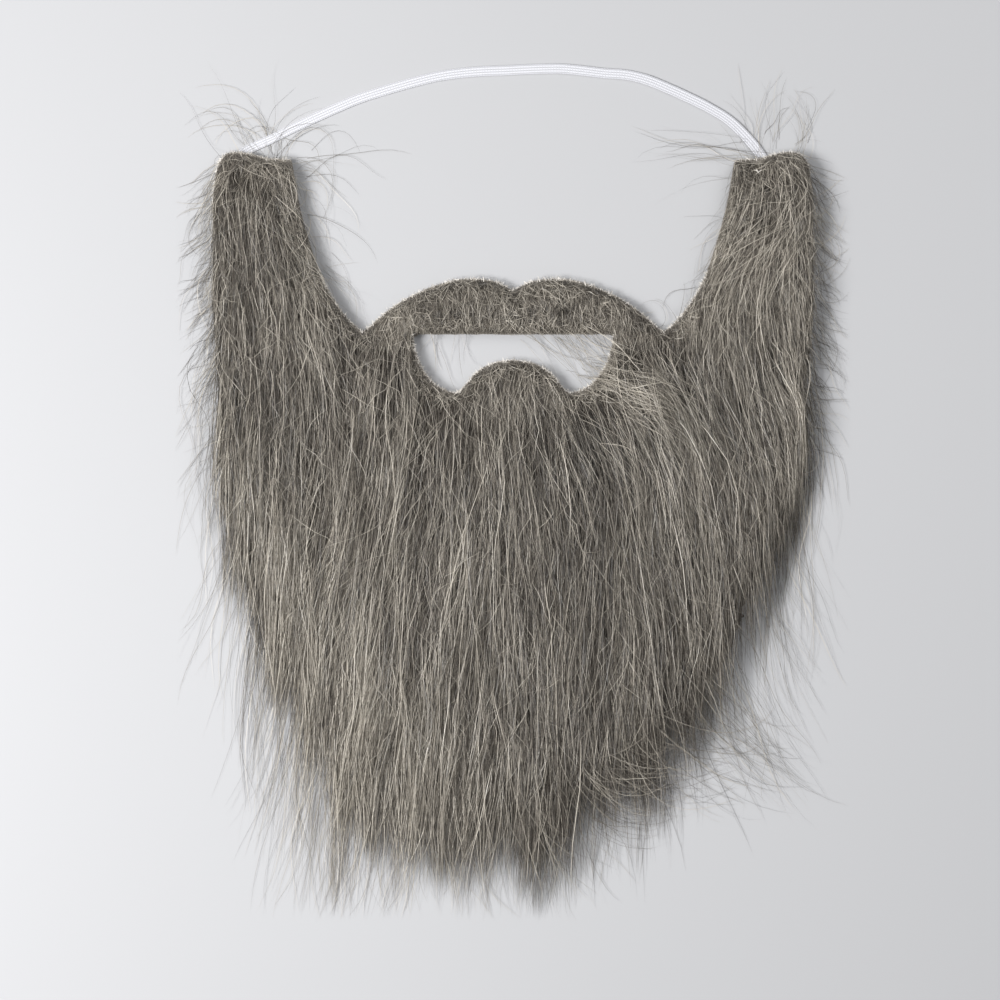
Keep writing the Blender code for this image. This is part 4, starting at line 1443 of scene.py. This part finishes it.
class BEARD_OT_foot(bpy.types.Operator):
    """The dense foot of the pile, a little lower than the fur itself"""

    bl_idname = "beard.foot"
    bl_label = "Build Fur Foot"

    def execute(self, context):
        material = foot_material(context.scene.beard_fur)
        self.foot("beard_foot", "beard_fur", FOOT_VOXEL, "long_fur", material)
        self.foot("moustache_foot", "moustache_fur", LIP_VOXEL, "short_fur", material)
        return {"FINISHED"}

    def foot(self, name, node, voxel, slot, material):
        """A softened, lower copy of one fur solid."""
        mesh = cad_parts[node].data.copy()
        spots = np.array([vertex.co for vertex in mesh.vertices])
        spots[:, 2] = foot_height(spots[:, :2], spots[:, 2])
        past = -edge_field(0).at(spots[:, :2]) - FOOT_PAST_EDGE
        spots[:, 1] += FOOT_DRAW_IN * np.maximum(past, 0)
        mesh.vertices.foreach_set("co", spots.ravel().astype(np.float32))
        piece = new_piece(name, mesh, material, slot, node)
        remesh = piece.modifiers.new("Even faces", "REMESH")
        remesh.mode = "VOXEL"
        remesh.voxel_size = voxel
        remesh.use_smooth_shade = True
        soften = piece.modifiers.new("Soften", "SMOOTH")
        soften.factor = 0.5
        soften.iterations = FOOT_SMOOTHING
        graph = bpy.context.evaluated_depsgraph_get()
        made = bpy.data.meshes.new_from_object(piece.evaluated_get(graph))
        piece.modifiers.clear()
        piece.data = made
        made.name = name
        made.materials.clear()
        made.materials.append(material)


# Strands

class BEARD_OT_moustache(bpy.types.Operator):
    """Short trimmed strands above the mouth, and the patch of fur under the lip"""

    bl_idname = "beard.moustache"
    bl_label = "Grow Moustache"

    def execute(self, context):
        settings = context.scene.beard_fur
        name = "moustache_strands"
        rng = np.random.default_rng(SEED + 2)
        half, lower, upper = mouth_box()
        low = (-NOTCH_X, upper - 0.0006)
        high = (NOTCH_X, LIP_HIGH.y + 0.0030)
        roots = scattered(name, settings, low, high, on_cloth, rng)
        lengths = settings.moustache_length * rng.uniform(0.35, 1.0, len(roots))
        path = grown(roots, lengths, rng, stray=21, sway=14)
        path, lift = gathered(path, spacing=0.0020, pull=0.25)
        line = upper - rng.uniform(-0.0002, 0.0004, len(roots))[:, None]
        above_mouth = (path[:, :, 1] > line) | (np.abs(path[:, :, 0]) > half + 0.0005)
        path, lift = trimmed(name, path, above_mouth & in_reach(path), lift)
        strand_piece(name, path, layers(len(path), rng, lift, wild=0.04), settings, rng)
        self.lip_tuft(settings, lower)
        return {"FINISHED"}

    def lip_tuft(self, settings, lower):
        """Strands of the rounded patch below the mouth."""
        name = "lip_tuft_strands"
        rng = np.random.default_rng(SEED + 3)
        low = (-LIP_PATCH_X, lower - 0.0060)
        high = (LIP_PATCH_X, lower + 0.0180)
        roots = scattered(name, settings, low, high, on_cloth, rng)
        path = grown(roots, rng.uniform(0.007, 0.018, len(roots)), rng, stray=18, sway=12)
        path, lift = gathered(path, spacing=0.0022, pull=0.30)
        path, lift = trimmed(name, path, in_reach(path), lift)
        strand_piece(name, path, layers(len(path), rng, lift), settings, rng)


class BEARD_OT_side_tabs(bpy.types.Operator):
    """Strands of the two side tabs"""

    bl_idname = "beard.side_tabs"
    bl_label = "Grow Side Tabs"

    def execute(self, context):
        settings = context.scene.beard_fur
        for side, name in ((-1, "left_tab_strands"), (1, "right_tab_strands")):
            rng = np.random.default_rng(SEED + 5 + side)
            low = (min(side * NOTCH_X, side * FUR_SIDE), TAB_FOOT)
            high = (max(side * NOTCH_X, side * FUR_SIDE), TAB_TOP)
            roots = scattered(name, settings, low, high, on_cloth, rng)
            from_edge = np.clip(edge_field(0).at(roots) / 0.014, 0.30, 1)
            lengths = settings.tab_length * from_edge * rng.uniform(0.50, 1.10, len(roots))
            path = grown(roots, lengths, rng, stray=11, sway=14, crimp=10)
            path, _ = gathered(path, spacing=0.0024, pull=0.35)
            path, lift = gathered(path, spacing=0.0060, pull=0.35)
            path, lift = trimmed(name, path, in_reach(path) & near_outline(path, lift, rng), lift)
            strand_piece(name, path, layers(len(path), rng, lift), settings, rng)
        return {"FINISHED"}


class BEARD_OT_long_beard(bpy.types.Operator):
    """Long strands of the cheeks and the chin"""

    bl_idname = "beard.long_beard"
    bl_label = "Grow Long Beard"

    def execute(self, context):
        settings = context.scene.beard_fur
        parts = ((-FUR_SIDE, -CHIN_X, "left_beard_strands"), (-CHIN_X, CHIN_X, "chin_strands"),
                 (CHIN_X, FUR_SIDE, "right_beard_strands"))
        for index, (left, right, name) in enumerate(parts):
            rng = np.random.default_rng(SEED + 10 + index)
            low = (left, CLOTH_LOW.y)
            roots = scattered(name, settings, low, (right, BEARD_TOP), self.wanted, rng)
            near_mouth = np.clip(edge_field(1).at(roots) / 0.030, 0, 1)
            usual = settings.beard_length * (0.50 + 0.50 * near_mouth)
            lengths = usual * rng.uniform(0.60, 1.15, len(roots))
            path, lift = in_locks(
                roots, lengths, rng, pull=0.68, spread=5.0, stray=6, sway=8, crimp=5, tip=10)
            path, lift = trimmed(name, path, in_reach(path) & near_outline(path, lift, rng), lift)
            strand_piece(name, path, layers(len(path), rng, lift), settings, rng)
        return {"FINISHED"}

    def wanted(self, spots):
        """On the cloth, below the mouth line and not in the patch under the lip."""
        in_patch = (np.abs(spots[:, 0]) < 0.0195) & (spots[:, 1] > mouth_box()[1])
        over_mouth = (np.abs(spots[:, 0]) < NOTCH_X) & (spots[:, 1] > mouth_box()[2] - 0.0005)
        return on_cloth(spots) & ~in_patch & ~over_mouth


class BEARD_OT_fringe(bpy.types.Operator):
    """Strands that hang past the outer and lower edge, drawn together in pointed locks"""

    bl_idname = "beard.fringe"
    bl_label = "Grow Fringe"

    def execute(self, context):
        settings = context.scene.beard_fur
        name = "fringe_strands"
        rng = np.random.default_rng(SEED + 20)
        low = (CLOTH_LOW.x, CLOTH_LOW.y)
        roots = scattered(name, settings, low, (CLOTH_HIGH.x, FRINGE_TOP), self.wanted, rng)
        to_right = np.clip((roots[:, 0] + 0.03) / 0.07, 0, 1)
        kept = rng.random(len(roots)) > 0.35 * to_right * (roots[:, 1] < 0.02)
        roots = roots[kept]
        to_right = to_right[kept]
        usual = settings.fringe_left_length * (1 - to_right) + settings.fringe_right_length * to_right
        usual *= 1 + 0.16 * soft_noise(roots, (0.010, 0.020), rng)
        lengths = usual * rng.uniform(0.30, 1.08, len(roots)) ** 0.7
        lengths = np.where(rng.random(len(roots)) < 0.05, lengths * 1.25, lengths)
        path, lift = in_locks(
            roots, lengths, rng, pull=0.84, spread=6.0, stray=7, sway=11, crimp=8, tip=26)
        path, lift = trimmed(name, path, in_reach(path) & near_outline(path, lift, rng), lift)
        strand_piece(name, path, layers(len(path), rng, lift), settings, rng)
        return {"FINISHED"}

    def wanted(self, spots):
        """In the band along the outer edge."""
        depth = edge_field(0).at(spots)
        return (depth > 0.0001) & (depth < 0.0150)


class BEARD_OT_loose_strands(bpy.types.Operator):
    """Thin strands that cross the others, curl away round the beard or hang across the mouth"""

    bl_idname = "beard.loose_strands"
    bl_label = "Add Loose Strands"

    def execute(self, context):
        settings = context.scene.beard_fur
        self.crossing(settings)
        self.side_fuzz(settings)
        self.felt(settings)
        rng = np.random.default_rng(SEED + 30)
        for name, tufts, spot, pull in (
            ("loose_strands", LOOSE_TUFTS, 0.0045, 0.0),
            ("wisp_strands", WISPS, 0.0042, 0.72),
            ("mouth_strands", MOUTH_TUFTS, 0.0022, 0.0),
            ("whorl_strands", WHORL_TUFTS, 0.0042, 0.0),
        ):
            path, _ = gathered(tuft_paths(tufts, spot, rng), 0.0050, pull)
            path, = trimmed(name, path, in_reach(path))
            strand_piece(name, path, 0.7 + 0.6 * rng.random(len(path)), settings, rng)
        return {"FINISHED"}

    def side_fuzz(self, settings):
        """Short strands that stand out from the outer sides of the tabs and cheeks."""
        name = "side_fuzz"
        rng = np.random.default_rng(SEED + 32)
        roots = scattered(name, settings, CLOTH_LOW[:2], CLOTH_HIGH[:2], self.at_side, rng)
        count = len(roots)
        side = np.sign(roots[:, 0])
        heading = lay_field().at(roots) + side * rng.uniform(10, 75, count)
        bend = -side * rng.uniform(-10, 80, count)
        path = curled(roots, heading, bend, rng.uniform(0.008, 0.024, count), rng)
        path, = trimmed(name, path, in_reach(path))
        strand_piece(name, path, 0.2 + 0.9 * rng.random(len(path)), settings, rng)

    def felt(self, settings):
        """Short tangled fibres where the pile is thin: along root edges and on the inner strips."""
        name = "felt_strands"
        rng = np.random.default_rng(SEED + 33)
        roots = scattered(name, settings, CLOTH_LOW[:2], CLOTH_HIGH[:2], self.felted, rng)
        count = len(roots)
        heading = lay_field().at(roots) + rng.normal(0, 55, count)
        path = curled(roots, heading, rng.normal(0, 60, count), rng.uniform(0.003, 0.010, count), rng)
        path, = trimmed(name, path, in_reach(path) & (depth_in_cloth(path) > -0.0006))
        strand_piece(name, path, 0.15 + 0.8 * rng.random(len(path)), settings, rng)

    def felted(self, spots):
        """Near an edge that the hair grows away from, above the long beard."""
        depth = depth_in_cloth(spots)
        thin = (fullness_field().at(spots) < 0.93) & (depth < 0.0045)
        inner_strip = (spots[:, 1] > 0.080) & (depth < 0.008) & (np.abs(spots[:, 0]) < 0.100)
        return (depth > 0.0001) & (spots[:, 1] > 0.045) & (thin | inner_strip)

    def at_side(self, spots):
        """Along the outer sides, above the fringe."""
        depth = edge_field(0).at(spots)
        return (depth > 0.0001) & (depth < 0.0060) & (np.abs(spots[:, 0]) > 0.100) & (spots[:, 1] > -0.010)

    def crossing(self, settings):
        """Single strands that lie across the combed ones."""
        name = "crossing_strands"
        rng = np.random.default_rng(SEED + 31)
        roots = scattered(name, settings, CLOTH_LOW[:2], CLOTH_HIGH[:2], on_cloth, rng)
        at_tab = eased((roots[:, 1] - 0.060) / 0.030)
        lengths = rng.uniform(0.015, 0.042, len(roots)) * (1 - 0.4 * at_tab)
        over_mouth = np.abs(roots[:, 0]) < 0.050
        lengths = np.where(over_mouth & (at_tab > 0.2), 0.008, lengths)
        stray = 20 + 14 * at_tab
        path = grown(roots, lengths, rng, stray=stray, sway=18 + 14 * at_tab, crimp=12, ease=0.004)
        lift = rng.random(len(path))
        allowed = in_reach(path) & (edge_field(1).at(path) > -0.0003) & near_outline(path, lift, rng)
        path, = trimmed(name, path, allowed)
        strand_piece(name, path, 0.75 + 0.55 * rng.random(len(path)), settings, rng)


class BEARD_OT_cut_edge(bpy.types.Operator):
    """Pale ends of the knit's yarn along the cut edge"""

    bl_idname = "beard.cut_edge"
    bl_label = "Add Cut Edge"

    def execute(self, context):
        length = context.scene.beard_cloth.fibre_length
        rng = np.random.default_rng(SEED + 40)
        paths = []
        for which, loop in enumerate(cloth_edges()):
            closed = np.vstack((loop, loop[:1]))
            around = np.linalg.norm(np.diff(closed, axis=0), axis=1).sum()
            spots = spaced(closed, int(around / 0.00036))
            along = unit(np.gradient(spots, axis=0))
            outward = np.stack((along[:, 1], -along[:, 0]), axis=1)
            step = edge_field(which).at(spots + outward * 0.001)
            outward = np.where(step[:, None] > 0, -outward, outward)
            lean = np.radians(lay_field().at(spots))
            flows_in = outward[:, 1] * np.cos(lean) - outward[:, 0] * np.sin(lean)
            shown = (spots[:, 1] > 0.030) & (flows_in > 0.08)
            paths.append(self.fibres(spots[shown], outward[shown], length, rng))
        path = np.concatenate(paths)
        widths = rng.uniform(0.00018, 0.00038, len(path))
        mesh = strand_mesh("cut_edge_fibres", path, widths, np.full(len(path), 0.6), rng)
        new_piece("cut_edge_fibres", mesh, thread_material(), "backing_knit", "backing_cloth")
        return {"FINISHED"}

    def fibres(self, spots, outward, length, rng):
        """Short bent ends, each pointing roughly away from the cloth."""
        count = len(spots)
        turn = np.radians(rng.normal(0, 38, count))
        cosine = np.cos(turn)[:, None]
        sine = np.sin(turn)[:, None]
        aim = outward * cosine + np.stack((-outward[:, 1], outward[:, 0]), axis=1) * sine
        reach = length * rng.uniform(0.15, 1.0, count) ** 1.5
        levels = foot_field().at(spots) + 0.0006
        share = np.linspace(-0.6, 1, 4)
        path = spots[:, None] + aim[:, None] * (reach[:, None] * share)[:, :, None]
        height = levels[:, None] + rng.uniform(0.0, 0.0008, count)[:, None] - 0.0004 * share
        return np.dstack((path, height))


class BEARD_OT_stitches(bpy.types.Operator):
    """Threads that hold the elastic to the tabs, one of them with a loose end"""

    bl_idname = "beard.stitches"
    bl_label = "Sew Stitches"

    def execute(self, context):
        around = np.linspace(0, 2 * math.pi, THREAD_SIDES + 1)[:-1]
        profile = np.stack((np.cos(around), np.sin(around)), axis=1)
        tubes = []
        for stitch in STITCHES:
            line = spaced(curve_through(np.array(stitch) * MM, steps=8), count=26)
            line[:, 2] += THREAD_LIFT
            width = np.full(len(line), THREAD_WIDTH)
            tubes.append(tube_arrays(line, width, width, profile))
        mesh = swept_mesh("tab_stitches", tubes)
        new_piece("tab_stitches", mesh, thread_material(), "backing_knit")
        return {"FINISHED"}


# Panel and registration

class BEARD_PT_dresser(bpy.types.Panel):
    """Buttons and sizes for the beard's pieces"""

    bl_label = "Fake Beard"
    bl_idname = "BEARD_PT_dresser"
    bl_space_type = "VIEW_3D"
    bl_region_type = "UI"
    bl_category = "Beard"

    def draw(self, context):
        for operator in OPERATORS:
            self.layout.operator(operator.bl_idname)
        for owner, kind in SETTINGS.items():
            box = self.layout.box()
            group = getattr(context.scene, owner)
            for name in kind.__annotations__:
                box.prop(group, name)


OPERATORS = (
    BEARD_OT_stage,
    BEARD_OT_elastic,
    BEARD_OT_backing,
    BEARD_OT_foot,
    BEARD_OT_moustache,
    BEARD_OT_side_tabs,
    BEARD_OT_long_beard,
    BEARD_OT_fringe,
    BEARD_OT_loose_strands,
    BEARD_OT_cut_edge,
    BEARD_OT_stitches,
)
SETTINGS = {
    "beard_fur": FurSettings,
    "beard_cloth": ClothSettings,
    "beard_elastic": ElasticSettings,
    "beard_stage": StageSettings,
}


def register():
    """Makes the settings, operators and panel known to Blender."""
    for owner, kind in SETTINGS.items():
        bpy.utils.register_class(kind)
        setattr(bpy.types.Scene, owner, PointerProperty(type=kind))
    for kind in (*OPERATORS, BEARD_PT_dresser):
        bpy.utils.register_class(kind)


def unregister():
    """Takes them out again."""
    for kind in (BEARD_PT_dresser, *reversed(OPERATORS)):
        bpy.utils.unregister_class(kind)
    for owner, kind in SETTINGS.items():
        delattr(bpy.types.Scene, owner)
        bpy.utils.unregister_class(kind)


def main():
    """Builds every piece in order."""
    register()
    bpy.ops.beard.stage()
    bpy.ops.beard.elastic()
    bpy.ops.beard.backing()
    bpy.ops.beard.foot()
    bpy.ops.beard.moustache()
    bpy.ops.beard.side_tabs()
    bpy.ops.beard.long_beard()
    bpy.ops.beard.fringe()
    bpy.ops.beard.loose_strands()
    bpy.ops.beard.cut_edge()
    bpy.ops.beard.stitches()


if __name__ == "__main__":
    main()
